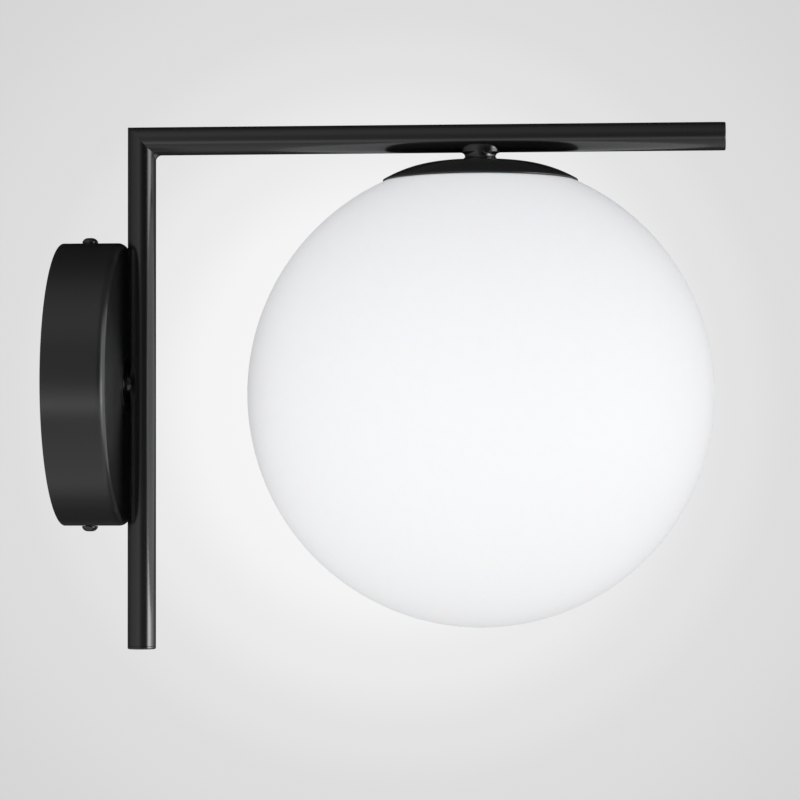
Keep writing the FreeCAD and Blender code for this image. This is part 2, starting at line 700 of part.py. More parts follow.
def reinforcing_washer():
    """The large steel washer that stiffens the canopy's thin face."""
    hole = NIPPLE_RADIUS + EASY_GAP
    back = CANOPY_INSIDE - REINFORCING_THICKNESS
    return ring(REINFORCING_RADIUS, hole, (back, 0, 0), (CANOPY_INSIDE, 0, 0))


def earth_tag():
    """The ring terminal round the nipple that earths the canopy and the arm."""
    tag = ring_terminal(NIPPLE_RADIUS + EASY_GAP, TAG_RADIUS, TAG_THICKNESS, TAG_BARREL_START,
                        TAG_THICKNESS / 2)
    tag.translate(vec(TAG_BACK, 0, 0))
    return tag


def toothed_washer():
    """The lock washer with cut teeth under the canopy nut."""
    front = TAG_BACK
    washer = ring(TOOTHED_RADIUS, NIPPLE_RADIUS + EASY_GAP, (TOOTHED_BACK, 0, 0), (front, 0, 0))
    notch = block((TOOTHED_BACK - CUT_MARGIN, -TOOTH_GAP / 2, TOOTHED_RADIUS - TOOTH_DEPTH),
                  (front + CUT_MARGIN, TOOTH_GAP / 2, TOOTHED_RADIUS + CUT_MARGIN))
    notches = []
    for step in range(TOOTH_COUNT):
        turned = notch.copy()
        turned.rotate(vec(0, 0, 0), AXIS_X, 360 * step / TOOTH_COUNT)
        notches.append(turned)
    return washer.cut(notches)


def canopy_nut():
    """The hexagonal nut that pulls the canopy against the riser."""
    thread = NIPPLE_RADIUS + THREAD_GAP
    return hexagon_nut(CANOPY_NUT_FLATS, thread, (CANOPY_NUT_BACK, 0, 0), (TOOTHED_BACK, 0, 0))


def nipple_bush():
    """The plastic bush that keeps the wires off the nipple's end."""
    flange = NIPPLE_BACK - BUSH_FLANGE
    return turned_x([
        (BUSH_BORE, flange),
        (NIPPLE_RADIUS, flange),
        (NIPPLE_RADIUS, NIPPLE_BACK),
        (NIPPLE_BORE - RUNNING_GAP, NIPPLE_BACK),
        (NIPPLE_BORE - RUNNING_GAP, NIPPLE_BACK + BUSH_SLEEVE),
        (BUSH_BORE, NIPPLE_BACK + BUSH_SLEEVE),
    ])


def riser_rod():
    """The riser's outside as a solid bar up to the arm's top."""
    bottom = PLUG_FLANGE - RISER_DROP
    return rod(TUBE_RADIUS, (RISER_AXIS, 0, bottom), (RISER_AXIS, 0, ARM_HEIGHT + TUBE_RADIUS))


def arm_rod():
    """The arm's outside as a solid bar from the riser's back to the end plug."""
    start = RISER_AXIS - TUBE_RADIUS
    end = ARM_REACH - PLUG_FLANGE
    return rod(TUBE_RADIUS, (start, 0, ARM_HEIGHT), (end, 0, ARM_HEIGHT))


def mitre_block():
    """The space above and beyond the 45 degree plane where riser and arm meet."""
    far = ARM_REACH
    corners = [(-far, far), (far, -far), (far, far), (-far, far)]
    points = [vec(RISER_AXIS + x, -far, ARM_HEIGHT + z) for x, z in corners]
    return Part.Face(Part.makePolygon(points)).extrude(vec(0, 2 * far, 0))


def vertical_tube():
    """The riser, mitred at the top, with the nipple's hole in its back wall."""
    bottom = PLUG_FLANGE - RISER_DROP
    top = ARM_HEIGHT + TUBE_RADIUS
    tube = riser_rod().cut(rod(TUBE_BORE, (RISER_AXIS, 0, bottom), (RISER_AXIS, 0, top)))
    hole = rod(NIPPLE_RADIUS + THREAD_GAP, (CANOPY_DEPTH, 0, 0), (RISER_AXIS, 0, 0))
    return tube.cut([mitre_block(), hole])


def horizontal_tube():
    """The arm, mitred at the wall end, with the wire hole over the neck."""
    start = RISER_AXIS - TUBE_RADIUS
    end = ARM_REACH - PLUG_FLANGE
    tube = arm_rod().cut(rod(TUBE_BORE, (start, 0, ARM_HEIGHT), (end, 0, ARM_HEIGHT)))
    hole = rod(NECK_BORE, (GLOBE_AXIS, 0, ARM_UNDERSIDE - CUT_MARGIN), (GLOBE_AXIS, 0, ARM_HEIGHT))
    return tube.common(mitre_block()).cut(hole)


def corner_weld():
    """The hollow-faced bead in the inside corner of riser and arm."""
    corner_x = RISER_AXIS + TUBE_RADIUS
    low = ARM_UNDERSIDE - WELD_LEG
    far = corner_x + WELD_LEG
    bead = outline([
        (corner_x - WELD_ROOT, ARM_UNDERSIDE + WELD_ROOT),
        (corner_x - WELD_ROOT, low),
        (corner_x, low),
        (corner_x + WELD_THROAT, ARM_UNDERSIDE - WELD_THROAT, far, ARM_UNDERSIDE),
        (far, ARM_UNDERSIDE + WELD_ROOT),
    ])
    bead.translate(vec(0, -WELD_WIDTH / 2, 0))
    bead = bead.extrude(vec(0, WELD_WIDTH, 0))
    return bead.cut([riser_rod(), arm_rod()])


def end_plug(place, outward):
    """A pressed tube plug with a rounded flange; place is the tube's end."""
    edge = PLUG_EDGE
    spigot = TUBE_BORE - THREAD_GAP
    face = TUBE_RADIUS - edge
    plug = turned_z([
        (0, -PLUG_SPIGOT),
        (spigot, -PLUG_SPIGOT),
        (spigot, 0),
        (TUBE_RADIUS, 0),
        (TUBE_RADIUS, PLUG_FLANGE - edge),
        (face + edge * DIAGONAL, PLUG_FLANGE - edge + edge * DIAGONAL, face, PLUG_FLANGE),
        (0, PLUG_FLANGE),
    ], 0)
    plug.Placement = FreeCAD.Placement(vec(*place), FreeCAD.Rotation(AXIS_Z, vec(*outward)))
    return plug


def neck():
    """The turned neck brazed under the arm, flared on the glass cap."""
    foot = CAP_SEAT
    head = ARM_UNDERSIDE
    crown = ARM_UNDERSIDE + NECK_CROWN_RISE
    thread = HOLDER_NIPPLE_RADIUS + THREAD_GAP
    shelf = foot + NECK_THREAD_DEPTH
    body = turned_z([
        (thread, foot),
        (NECK_FOOT_RADIUS, foot),
        (NECK_FOOT_RADIUS, foot + NECK_FOOT_EDGE),
        (NECK_HOLLOW_RADIUS, foot + NECK_HOLLOW_RISE, NECK_THROAT_RADIUS, foot + NECK_THROAT_RISE),
        (NECK_HEAD_RADIUS, head),
        (NECK_CROWN_MID_RADIUS, head + NECK_CROWN_MID_RISE, NECK_CROWN_RADIUS, crown),
        (NECK_BORE, crown),
        (NECK_BORE, shelf),
        (thread, shelf),
    ], GLOBE_AXIS)
    return body.cut(arm_rod())


def holder_nipple():
    """The threaded tube that hangs the cap, the spring and the lampholder from the neck."""
    return ring(HOLDER_NIPPLE_RADIUS, HOLDER_NIPPLE_BORE, (GLOBE_AXIS, 0, HOLDER_NIPPLE_END),
                (GLOBE_AXIS, 0, HOLDER_NIPPLE_TOP))


def cap_surface(dome_radius, radius):
    """The height of the glass cap's spherical surface at a radius; the dome's centre is shared."""
    centre = CAP_SEAT - math.sqrt(CAP_DOME_RADIUS ** 2 - CAP_SEAT_RADIUS ** 2)
    return centre + math.sqrt(dome_radius ** 2 - radius ** 2)


def cap_inside(radius):
    """The height of the glass cap's underside at a radius."""
    return cap_surface(CAP_DOME_RADIUS - CAP_WALL, radius)


def cap_outside(radius):
    """The height of the glass cap's top at a radius."""
    return cap_surface(CAP_DOME_RADIUS, radius)


def glass_cap():
    """The spun cap over the globe's mouth, with a flat seat round its hole."""
    hole = HOLDER_NIPPLE_RADIUS + CAP_HOLE_GAP
    between = (CAP_SEAT_RADIUS + CAP_RADIUS) / 2
    return turned_z([
        (hole, CAP_UNDERSIDE),
        (hole, CAP_SEAT),
        (CAP_SEAT_RADIUS, CAP_SEAT),
        (between, cap_outside(between), CAP_RADIUS, cap_outside(CAP_RADIUS)),
        (CAP_RADIUS, cap_inside(CAP_RADIUS)),
        (between, cap_inside(between), CAP_SEAT_RADIUS, cap_inside(CAP_SEAT_RADIUS)),
        (CAP_SEAT_RADIUS, CAP_UNDERSIDE),
    ], GLOBE_AXIS)


def gasket_bottom():
    """The height of the gasket's face against the glass."""
    return cap_inside(GASKET_OUTER) - RUNNING_GAP - GASKET_LIP


def mouth_level():
    """The height of the globe's ground mouth."""
    return gasket_bottom() - MOUTH_GAP


def globe_gasket():
    """The silicone ring between the cap and the globe's mouth."""
    bottom = gasket_bottom()
    return turned_z([
        (GASKET_INNER, bottom),
        (GASKET_OUTER, bottom),
        (GASKET_OUTER, cap_inside(GASKET_OUTER) - RUNNING_GAP),
        (GASKET_INNER, cap_inside(GASKET_INNER) - RUNNING_GAP),
    ], GLOBE_AXIS)


def globe_spring():
    """The three-legged clip spring that grips the globe by the inside of its mouth."""
    half = SPRING_THICKNESS / 2
    mouth = mouth_level()
    corner = math.sqrt((MOUTH_RADIUS - SPRING_MOUTH_GAP) ** 2 - (SPRING_LEG_WIDTH / 2) ** 2)
    at_mouth = corner - half
    root = CAP_UNDERSIDE - half - SPRING_LEG_SAG
    leg = ribbon([
        (SPRING_LEG_ROOT, root),
        (SPRING_KNEE_RADIUS, CAP_UNDERSIDE - SPRING_KNEE_DROP),
        (at_mouth, mouth),
        (at_mouth + SPRING_CREST_REACH, mouth - SPRING_CREST_DROP),
        (SPRING_TAIL_RADIUS, mouth - SPRING_TAIL_DROP),
    ], SPRING_THICKNESS, SPRING_LEG_WIDTH)
    legs = []
    for step in range(SPRING_LEG_COUNT):
        turned = leg.copy()
        turned.rotate(vec(0, 0, 0), AXIS_Z, 360 * step / SPRING_LEG_COUNT)
        legs.append(turned)
    hole = HOLDER_NIPPLE_RADIUS + CAP_HOLE_GAP
    hub = ring(SPRING_RING_RADIUS, hole, (0, 0, SPRING_UNDERSIDE), (0, 0, CAP_UNDERSIDE))
    spring = hub.fuse(legs).removeSplitter()
    spring.translate(vec(GLOBE_AXIS, 0, 0))
    return spring


def cap_lock_washer():
    """The washer between the clip spring and the cap nut."""
    return ring(LOCK_WASHER_RADIUS, HOLDER_NIPPLE_RADIUS + EASY_GAP, (GLOBE_AXIS, 0, LOCK_WASHER_BOTTOM),
                (GLOBE_AXIS, 0, SPRING_UNDERSIDE))


def cap_nut():
    """The nut that pulls the spring and the cap against the neck."""
    return hexagon_nut(CAP_NUT_FLATS, HOLDER_NIPPLE_RADIUS + THREAD_GAP, (GLOBE_AXIS, 0, CAP_NUT_BOTTOM),
                       (GLOBE_AXIS, 0, LOCK_WASHER_BOTTOM))


def globe():
    """The blown opal globe: a spherical shell with a ground mouth."""
    inner = GLOBE_RADIUS - GLOBE_WALL
    rise = math.sqrt(inner ** 2 - MOUTH_RADIUS ** 2)
    centre = mouth_level() - rise
    outer_mouth = math.sqrt(GLOBE_RADIUS ** 2 - rise ** 2)
    return turned_z([
        (outer_mouth, centre + rise),
        (GLOBE_RADIUS, centre, 0, centre - GLOBE_RADIUS),
        (0, centre - inner),
        (inner, centre, MOUTH_RADIUS, centre + rise),
    ], GLOBE_AXIS)


def holder_cap():
    """The lampholder's upper cover, screwed on the nipple by its boss."""
    thread = HOLDER_NIPPLE_RADIUS + THREAD_GAP
    shoulder = HOLDER_TOP - HOLDER_SHOULDER_DROP
    round_end = shoulder - (HOLDER_RADIUS - HOLDER_SHOULDER_RADIUS)
    bore = HOLDER_RADIUS - HOLDER_WALL
    inner_round = round_end - HOLDER_WALL
    slant = (HOLDER_RADIUS - HOLDER_SHOULDER_RADIUS) * DIAGONAL
    cover = turned_z([
        (thread, HOLDER_TOP),
        (HOLDER_BOSS_RADIUS, HOLDER_TOP),
        (HOLDER_BOSS_RADIUS, HOLDER_TOP - HOLDER_BOSS_HEIGHT),
        (HOLDER_SHOULDER_RADIUS, shoulder),
        (HOLDER_SHOULDER_RADIUS + slant, round_end + slant, HOLDER_RADIUS, round_end),
        (HOLDER_RADIUS, HOLDER_SPLIT),
        (bore, HOLDER_SPLIT),
        (bore, inner_round),
        (bore - HOLDER_WALL, shoulder - HOLDER_ROOF),
        (thread, shoulder - HOLDER_ROOF),
    ], GLOBE_AXIS)
    z = HOLDER_TOP - GRUB_SCREW_DROP
    far = GLOBE_AXIS + HOLDER_BOSS_RADIUS + CUT_MARGIN
    return cover.cut(rod(GRUB_SCREW_RADIUS + RUNNING_GAP, (GLOBE_AXIS, 0, z), (far, 0, z)))


def holder_grub_screw():
    """The grub screw that locks the lampholder on its nipple."""
    z = HOLDER_TOP - GRUB_SCREW_DROP
    tip = GLOBE_AXIS + HOLDER_NIPPLE_RADIUS + THREAD_GAP
    end = GLOBE_AXIS + HOLDER_BOSS_RADIUS
    screw = rod(GRUB_SCREW_RADIUS, (tip, 0, z), (end, 0, z))
    return slotted(screw, (end, 0, z), (1, 0, 0), GRUB_SCREW_RADIUS)


def holder_skirt():
    """The lampholder's lower cover, screwed into the upper one; its shelf carries the core."""
    thread = HOLDER_RADIUS - HOLDER_WALL - EASY_GAP
    core_way = thread - HOLDER_THREAD_WALL
    thread_top = HOLDER_SPLIT + HOLDER_THREAD_HEIGHT
    return turned_z([
        (HOLDER_RADIUS, HOLDER_SPLIT),
        (HOLDER_RADIUS, HOLDER_BOTTOM + HOLDER_SKIRT_CHAMFER),
        (HOLDER_SKIRT_NOSE, HOLDER_BOTTOM),
        (SKIRT_BORE, HOLDER_BOTTOM),
        (SKIRT_BORE, CORE_BOTTOM),
        (core_way, CORE_BOTTOM),
        (core_way, thread_top),
        (thread, thread_top),
        (thread, HOLDER_SPLIT),
    ], GLOBE_AXIS)


def rivet_places():
    """The Y places of the live and the neutral rivet."""
    return [-LIVE_RIVET, NEUTRAL_RIVET]


def holder_core():
    """The ceramic core with a pocket and a screw way for each wire clamp."""
    core = rod(CORE_RADIUS, (GLOBE_AXIS, 0, CORE_BOTTOM), (GLOBE_AXIS, 0, CORE_TOP))
    half_length = CLAMP_LENGTH / 2 + RUNNING_GAP
    half_width = CLAMP_WIDTH / 2 + RUNNING_GAP
    z = CORE_TOP - CLAMP_SCREW_DROP
    cuts = []
    for side in (-1, 1):
        y = side * CLAMP_OFFSET
        far = side * (CORE_RADIUS + CUT_MARGIN)
        cuts.append(block((GLOBE_AXIS - half_length, y - half_width, CLAMP_BOTTOM),
                          (GLOBE_AXIS + half_length, y + half_width, CORE_TOP + CUT_MARGIN)))
        cuts.append(rod(CLAMP_HEAD_RADIUS + HOLE_GAP, (GLOBE_AXIS, y, z), (GLOBE_AXIS, far, z)))
    for y in rivet_places():
        cuts.append(rod(RIVET_RADIUS + RUNNING_GAP, (GLOBE_AXIS, y, CORE_BOTTOM - CUT_MARGIN),
                        (GLOBE_AXIS, y, CLAMP_BOTTOM + CUT_MARGIN)))
    return core.cut(cuts)


def holder_clamps():
    """The two brass wire clamps in the core."""
    clamps = []
    for side in (-1, 1):
        y = side * CLAMP_OFFSET
        clamp = block((GLOBE_AXIS - CLAMP_LENGTH / 2, y - CLAMP_WIDTH / 2, CLAMP_BOTTOM),
                      (GLOBE_AXIS + CLAMP_LENGTH / 2, y + CLAMP_WIDTH / 2, CORE_TOP))
        way = rod(LEAD_RADIUS + RUNNING_GAP, (GLOBE_AXIS, y, CLAMP_BOTTOM + CLAMP_FLOOR),
                  (GLOBE_AXIS, y, CORE_TOP + CUT_MARGIN))
        z = CORE_TOP - CLAMP_SCREW_DROP
        far = y + side * CLAMP_WIDTH
        screw = rod(CLAMP_SCREW_RADIUS + RUNNING_GAP, (GLOBE_AXIS, y, z), (GLOBE_AXIS, far, z))
        clamps.append(clamp.cut([way, screw]))
    return Part.makeCompound(clamps)


def holder_clamp_screws():
    """The screws that press the wires in the two clamps."""
    screws = []
    z = CORE_TOP - CLAMP_SCREW_DROP
    for side in (-1, 1):
        tip = side * (CLAMP_OFFSET + LEAD_RADIUS + RUNNING_GAP)
        end = tip + side * CLAMP_SCREW_LENGTH
        seat = end - side * CLAMP_HEAD_HEIGHT
        screw = rod(CLAMP_SCREW_RADIUS, (GLOBE_AXIS, tip, z), (GLOBE_AXIS, seat, z))
        head = rod(CLAMP_HEAD_RADIUS, (GLOBE_AXIS, seat, z), (GLOBE_AXIS, end, z))
        screw = screw.fuse(head).removeSplitter()
        screws.append(slotted(screw, (GLOBE_AXIS, end, z), (0, side, 0), CLAMP_HEAD_RADIUS))
    return Part.makeCompound(screws)


def rivet_hole(y):
    """The way of a rivet through the plates under the core."""
    return rod(RIVET_RADIUS + RUNNING_GAP, (GLOBE_AXIS, y, CORE_BOTTOM - CUT_MARGIN),
               (GLOBE_AXIS, y, CORE_BOTTOM + CUT_MARGIN))


def holder_shell():
    """The thin screw shell with an inward lip under the core."""
    outer = SHELL_BORE + SHELL_WALL
    bottom = CORE_BOTTOM - SHELL_LENGTH
    shell = turned_z([
        (SHELL_BORE, bottom),
        (outer, bottom),
        (outer, CORE_BOTTOM),
        (SHELL_LIP, CORE_BOTTOM),
        (SHELL_LIP, CORE_BOTTOM - SHELL_WALL),
        (SHELL_BORE, CORE_BOTTOM - SHELL_WALL),
    ], GLOBE_AXIS)
    return shell.cut(rivet_hole(NEUTRAL_RIVET))


def holder_tongue():
    """The sprung centre contact under the core."""
    tongue = ribbon([
        (-TONGUE_ROOT, TONGUE_LEVEL),
        (-TONGUE_BEND, TONGUE_LEVEL),
        (0, TONGUE_LEVEL - TONGUE_DIP),
        (TONGUE_TIP, TONGUE_LEVEL - TONGUE_DIP / 2),
    ], TONGUE_THICKNESS, TONGUE_WIDTH)
    tongue.rotate(vec(0, 0, 0), AXIS_Z, 90)
    tongue.translate(vec(GLOBE_AXIS, 0, 0))
    return tongue.cut(rivet_hole(-LIVE_RIVET))


def holder_rivets():
    """The rivets that join each wire clamp to its contact through the core."""
    rivets = []
    for y, plate in zip(rivet_places(), (TONGUE_THICKNESS, SHELL_WALL)):
        under = CORE_BOTTOM - plate
        shank = rod(RIVET_RADIUS, (GLOBE_AXIS, y, under), (GLOBE_AXIS, y, CLAMP_BOTTOM))
        head = rod(RIVET_HEAD_RADIUS, (GLOBE_AXIS, y, under - RIVET_HEAD_HEIGHT), (GLOBE_AXIS, y, under))
        rivets.append(shank.fuse(head).removeSplitter())
    return Part.makeCompound(rivets)


def bulb_contact():
    """The bulb's round centre contact."""
    edge = BULB_CONTACT_HEIGHT / 2
    return turned_z([
        (0, INSULATOR_LEVEL),
        (BULB_CONTACT_RADIUS, INSULATOR_LEVEL),
        (BULB_CONTACT_RADIUS, INSULATOR_LEVEL + edge),
        (BULB_CONTACT_RADIUS - edge, BULB_TOP),
        (0, BULB_TOP),
    ], GLOBE_AXIS)


def bulb_insulator():
    """The glass cone between the bulb's contact and its screw cap."""
    return turned_z([
        (0, SCREW_CAP_TOP),
        (INSULATOR_BASE, SCREW_CAP_TOP),
        (INSULATOR_TOP, INSULATOR_LEVEL),
        (0, INSULATOR_LEVEL),
    ], GLOBE_AXIS)


def bulb_screw_cap():
    """The bulb's metal screw cap with a row of shallow grooves."""
    inner = SCREW_CAP_RADIUS - SCREW_CAP_WALL - THREAD_GROOVE
    shoulder = SCREW_CAP_TOP - (SCREW_CAP_RADIUS - SCREW_CAP_TOP_RADIUS)
    moves = [(0, SCREW_CAP_TOP), (SCREW_CAP_TOP_RADIUS, SCREW_CAP_TOP), (SCREW_CAP_RADIUS, shoulder)]
    for turn in range(THREAD_GROOVES):
        top = shoulder - THREAD_PITCH * (turn + 0.5)
        bottom = top - THREAD_PITCH / 2
        middle = (top + bottom) / 2
        moves.append((SCREW_CAP_RADIUS, top))
        moves.append((SCREW_CAP_RADIUS - THREAD_GROOVE, middle, SCREW_CAP_RADIUS, bottom))
    moves += [(SCREW_CAP_RADIUS, SCREW_CAP_BOTTOM), (inner, SCREW_CAP_BOTTOM),
              (inner, shoulder - SCREW_CAP_WALL), (0, shoulder - SCREW_CAP_WALL)]
    return turned_z(moves, GLOBE_AXIS)


def bulb_housing():
    """The bulb's flared plastic body, its neck pressed into the screw cap."""
    neck_radius = SCREW_CAP_RADIUS - SCREW_CAP_WALL - THREAD_GROOVE - RUNNING_GAP
    top = SCREW_CAP_BOTTOM + BULB_NECK_INSERT
    between = (SCREW_CAP_BOTTOM + BULB_JOINT) / 2
    bulge = (BULB_NECK_RADIUS + BULB_JOINT_RADIUS) / 2 - BULB_HOLLOW
    return turned_z([
        (neck_radius - BULB_WALL, top),
        (neck_radius, top),
        (neck_radius, SCREW_CAP_BOTTOM),
        (BULB_NECK_RADIUS, SCREW_CAP_BOTTOM),
        (bulge, between, BULB_JOINT_RADIUS, BULB_JOINT),
        (BULB_JOINT_RADIUS - BULB_WALL, BULB_JOINT),
        (bulge - BULB_WALL, between, neck_radius - BULB_WALL, SCREW_CAP_BOTTOM),
    ], GLOBE_AXIS)


def bulb_diffuser():
    """The bulb's milky dome, a spherical shell."""
    inner = BULB_RADIUS - BULB_WALL
    rim = math.sqrt(inner ** 2 - BULB_JOINT_RISE ** 2)
    return turned_z([
        (BULB_JOINT_RADIUS, BULB_JOINT),
        (BULB_RADIUS, BULB_CENTRE, 0, BULB_BOTTOM),
        (0, BULB_CENTRE - inner),
        (inner, BULB_CENTRE, rim, BULB_JOINT),
    ], GLOBE_AXIS)


def heat_plate_radius():
    """The heat plate's radius, a little inside the housing at the plate's level."""
    rise = HEAT_PLATE_TOP - BULB_JOINT
    slope = (BULB_JOINT_RADIUS - BULB_NECK_RADIUS) / (SCREW_CAP_BOTTOM - BULB_JOINT)
    return BULB_JOINT_RADIUS - BULB_WALL - rise * slope - HEAT_PLATE_GAP


def heat_plate():
    """The aluminium disc that carries the LED board and the driver."""
    return rod(heat_plate_radius(), (GLOBE_AXIS, 0, HEAT_PLATE_BOTTOM), (GLOBE_AXIS, 0, HEAT_PLATE_TOP))


def led_board():
    """The round circuit board under the heat plate."""
    radius = min(LED_BOARD_RADIUS, heat_plate_radius())
    bottom = HEAT_PLATE_BOTTOM - LED_BOARD_THICKNESS
    return rod(radius, (GLOBE_AXIS, 0, bottom), (GLOBE_AXIS, 0, HEAT_PLATE_BOTTOM))


def led_chips():
    """The light-emitting diodes in a circle on the board."""
    top = HEAT_PLATE_BOTTOM - LED_BOARD_THICKNESS
    half = LED_SIZE / 2
    chips = []
    for step in range(LED_COUNT):
        chip = block((LED_CIRCLE - half, -half, top - LED_HEIGHT), (LED_CIRCLE + half, half, top))
        chip.rotate(vec(0, 0, 0), AXIS_Z, 360 * step / LED_COUNT)
        chip.translate(vec(GLOBE_AXIS, 0, 0))
        chips.append(chip)
    return Part.makeCompound(chips)


def led_driver():
    """The upright driver board on the heat plate."""
    half = DRIVER_WIDTH / 2
    return block((GLOBE_AXIS - half, -DRIVER_THICKNESS / 2, HEAT_PLATE_TOP),
                 (GLOBE_AXIS + half, DRIVER_THICKNESS / 2, HEAT_PLATE_TOP + DRIVER_HEIGHT))


def lead_wire(name, side, pole):
    """A lamp lead from its pole through the nipple, the riser and the arm to its clamp."""
    y = side * LEAD_OFFSET
    return wire(name, [
        (POLE_DEPTH, pole, BLOCK_MIDDLE),
        (POLE_DEPTH, pole, BLOCK_TOP + LEAD_BLOCK_RUN),
        (POLE_DEPTH, y, 0),
        (RISER_AXIS, y, 0),
        (RISER_AXIS, y, ARM_HEIGHT),
        (GLOBE_AXIS, y, ARM_HEIGHT),
        (GLOBE_AXIS, y, HOLDER_NIPPLE_END - LEAD_DROP),
        (GLOBE_AXIS, side * CLAMP_OFFSET, CORE_TOP + LEAD_CLAMP_RUN),
        (GLOBE_AXIS, side * CLAMP_OFFSET, CLAMP_BOTTOM + LEAD_END_RISE),
    ], LEAD_RADIUS, LEAD_BEND)


def bracket_earth_wire():
    """The earth wire from the block to the bracket's ring terminal."""
    y = POLE_PITCH - EARTH_WIRE_OFFSET
    x = STRAP_THICKNESS + EARTH_WIRE_RADIUS + RUNNING_GAP + BARREL_WALL
    turn = math.radians(LUG_TURN)
    mouth = BARREL_START + BARREL_LENGTH + EARTH_BARREL_RUN
    seat = BARREL_START + EARTH_BARREL_SEAT
    return wire("bracket_earth_wire", [
        (POLE_DEPTH, y, BLOCK_MIDDLE),
        (POLE_DEPTH, y, BLOCK_TOP + EARTH_BLOCK_RUN),
        (x, mouth * math.cos(turn), EARTH_SCREW_HEIGHT + mouth * math.sin(turn)),
        (x, seat * math.cos(turn), EARTH_SCREW_HEIGHT + seat * math.sin(turn)),
    ], EARTH_WIRE_RADIUS, EARTH_BEND)


def canopy_earth_wire():
    """The earth wire from the block to the ring terminal on the nipple."""
    y = POLE_PITCH + EARTH_WIRE_OFFSET
    x = TAG_BACK + TAG_THICKNESS / 2
    return wire("canopy_earth_wire", [
        (POLE_DEPTH, y, BLOCK_MIDDLE),
        (POLE_DEPTH, y, BLOCK_TOP + CANOPY_EARTH_BLOCK_RUN),
        (POLE_DEPTH + CANOPY_EARTH_DEPTH, y + CANOPY_EARTH_SIDE, BLOCK_TOP + CANOPY_EARTH_RISE),
        (x, y + CANOPY_EARTH_SIDE, 0),
        (x, TAG_BARREL_START + EARTH_BARREL_SEAT, 0),
    ], EARTH_WIRE_RADIUS, EARTH_BEND)


def main():
    """Build every piece and write one STEP file for each."""
    pieces = {
        "wall_bracket": wall_bracket(),
        "canopy": canopy(),
        "canopy_screw_top": canopy_screw(1),
        "canopy_screw_bottom": canopy_screw(-1),
        "bracket_earth_lug": bracket_earth_lug(),
        "earth_washer": earth_washer(),
        "earth_screw": earth_screw(),
        "terminal_block": terminal_block(),
        "terminal_inserts": terminal_inserts(),
        "terminal_screws": terminal_screws(),
        "terminal_block_screw": terminal_block_screw(),
        "canopy_nipple": canopy_nipple(),
        "stem_collar": stem_collar(),
        "reinforcing_washer": reinforcing_washer(),
        "earth_tag": earth_tag(),
        "toothed_washer": toothed_washer(),
        "canopy_nut": canopy_nut(),
        "nipple_bush": nipple_bush(),
        "vertical_tube": vertical_tube(),
        "horizontal_tube": horizontal_tube(),
        "corner_weld": corner_weld(),
        "riser_end_plug": end_plug((RISER_AXIS, 0, PLUG_FLANGE - RISER_DROP), (0, 0, -1)),
        "arm_end_plug": end_plug((ARM_REACH - PLUG_FLANGE, 0, ARM_HEIGHT), (1, 0, 0)),
        "neck": neck(),
        "holder_nipple": holder_nipple(),
        "glass_cap": glass_cap(),
        "globe_gasket": globe_gasket(),
        "globe_spring": globe_spring(),
        "cap_lock_washer": cap_lock_washer(),
        "cap_nut": cap_nut(),
        "globe": globe(),
        "holder_cap": holder_cap(),
        "holder_grub_screw": holder_grub_screw(),
        "holder_skirt": holder_skirt(),
        "holder_core": holder_core(),
        "holder_clamps": holder_clamps(),
        "holder_clamp_screws": holder_clamp_screws(),
        "holder_shell": holder_shell(),
        "holder_tongue": holder_tongue(),
        "holder_rivets": holder_rivets(),
        "live_wire": lead_wire("live_wire", -1, -POLE_PITCH),
        "neutral_wire": lead_wire("neutral_wire", 1, 0),
        "bracket_earth_wire": bracket_earth_wire(),
        "canopy_earth_wire": canopy_earth_wire(),
        "bulb_contact": bulb_contact(),
        "bulb_insulator": bulb_insulator(),
        "bulb_screw_cap": bulb_screw_cap(),
        "bulb_housing": bulb_housing(),
        "bulb_diffuser": bulb_diffuser(),
        "heat_plate": heat_plate(),
        "led_board": led_board(),
        "led_chips": led_chips(),
        "led_driver": led_driver(),
    }
    os.makedirs("parts", exist_ok=True)
    for name, shape in pieces.items():
        print(f"{name}: {len(shape.Solids)} solid, volume {shape.Volume:.1f}, valid {shape.isValid()}")
        shape.exportStep(os.path.join("parts", name + ".step"))


main()
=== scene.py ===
"""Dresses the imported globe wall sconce: black metalwork, an opal globe and the fittings inside it.

Sizes are in millimetres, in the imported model's frame: X out from the wall, Y along it, Z up, and
the origin on the wall at the canopy's centre. Meshes are made in metres. An outline is rows of
radius, height and, at a rounded corner, fillet, and a turned piece is its outline carried round a
line.
"""
from __future__ import annotations

import logging
import math
from dataclasses import dataclass, field
from enum import Enum
from typing import Callable, Sequence

import bmesh
import bpy
import numpy as np
from mathutils import Matrix, Vector

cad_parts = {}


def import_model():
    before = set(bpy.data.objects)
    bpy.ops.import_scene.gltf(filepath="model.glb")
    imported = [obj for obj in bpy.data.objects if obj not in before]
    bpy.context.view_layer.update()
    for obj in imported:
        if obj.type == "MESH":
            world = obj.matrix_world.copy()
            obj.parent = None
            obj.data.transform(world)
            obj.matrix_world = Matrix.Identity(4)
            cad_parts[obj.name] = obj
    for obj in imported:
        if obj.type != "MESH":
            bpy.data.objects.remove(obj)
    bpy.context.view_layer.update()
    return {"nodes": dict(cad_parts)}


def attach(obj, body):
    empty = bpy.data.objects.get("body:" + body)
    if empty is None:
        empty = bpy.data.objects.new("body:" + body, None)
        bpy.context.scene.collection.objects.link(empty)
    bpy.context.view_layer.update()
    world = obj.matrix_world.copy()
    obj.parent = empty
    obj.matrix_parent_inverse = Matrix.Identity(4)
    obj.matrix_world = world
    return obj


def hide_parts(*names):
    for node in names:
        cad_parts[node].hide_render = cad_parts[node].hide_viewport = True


LOG = logging.getLogger("sconce")
MM = 0.001
TURN = 2 * math.pi

# Points nearer than this many metres are one, and edges sharper than these degrees stay sharp.
MERGE_DISTANCE = 2e-7
CREASE = 40.0
COPY_CREASE = 32.0

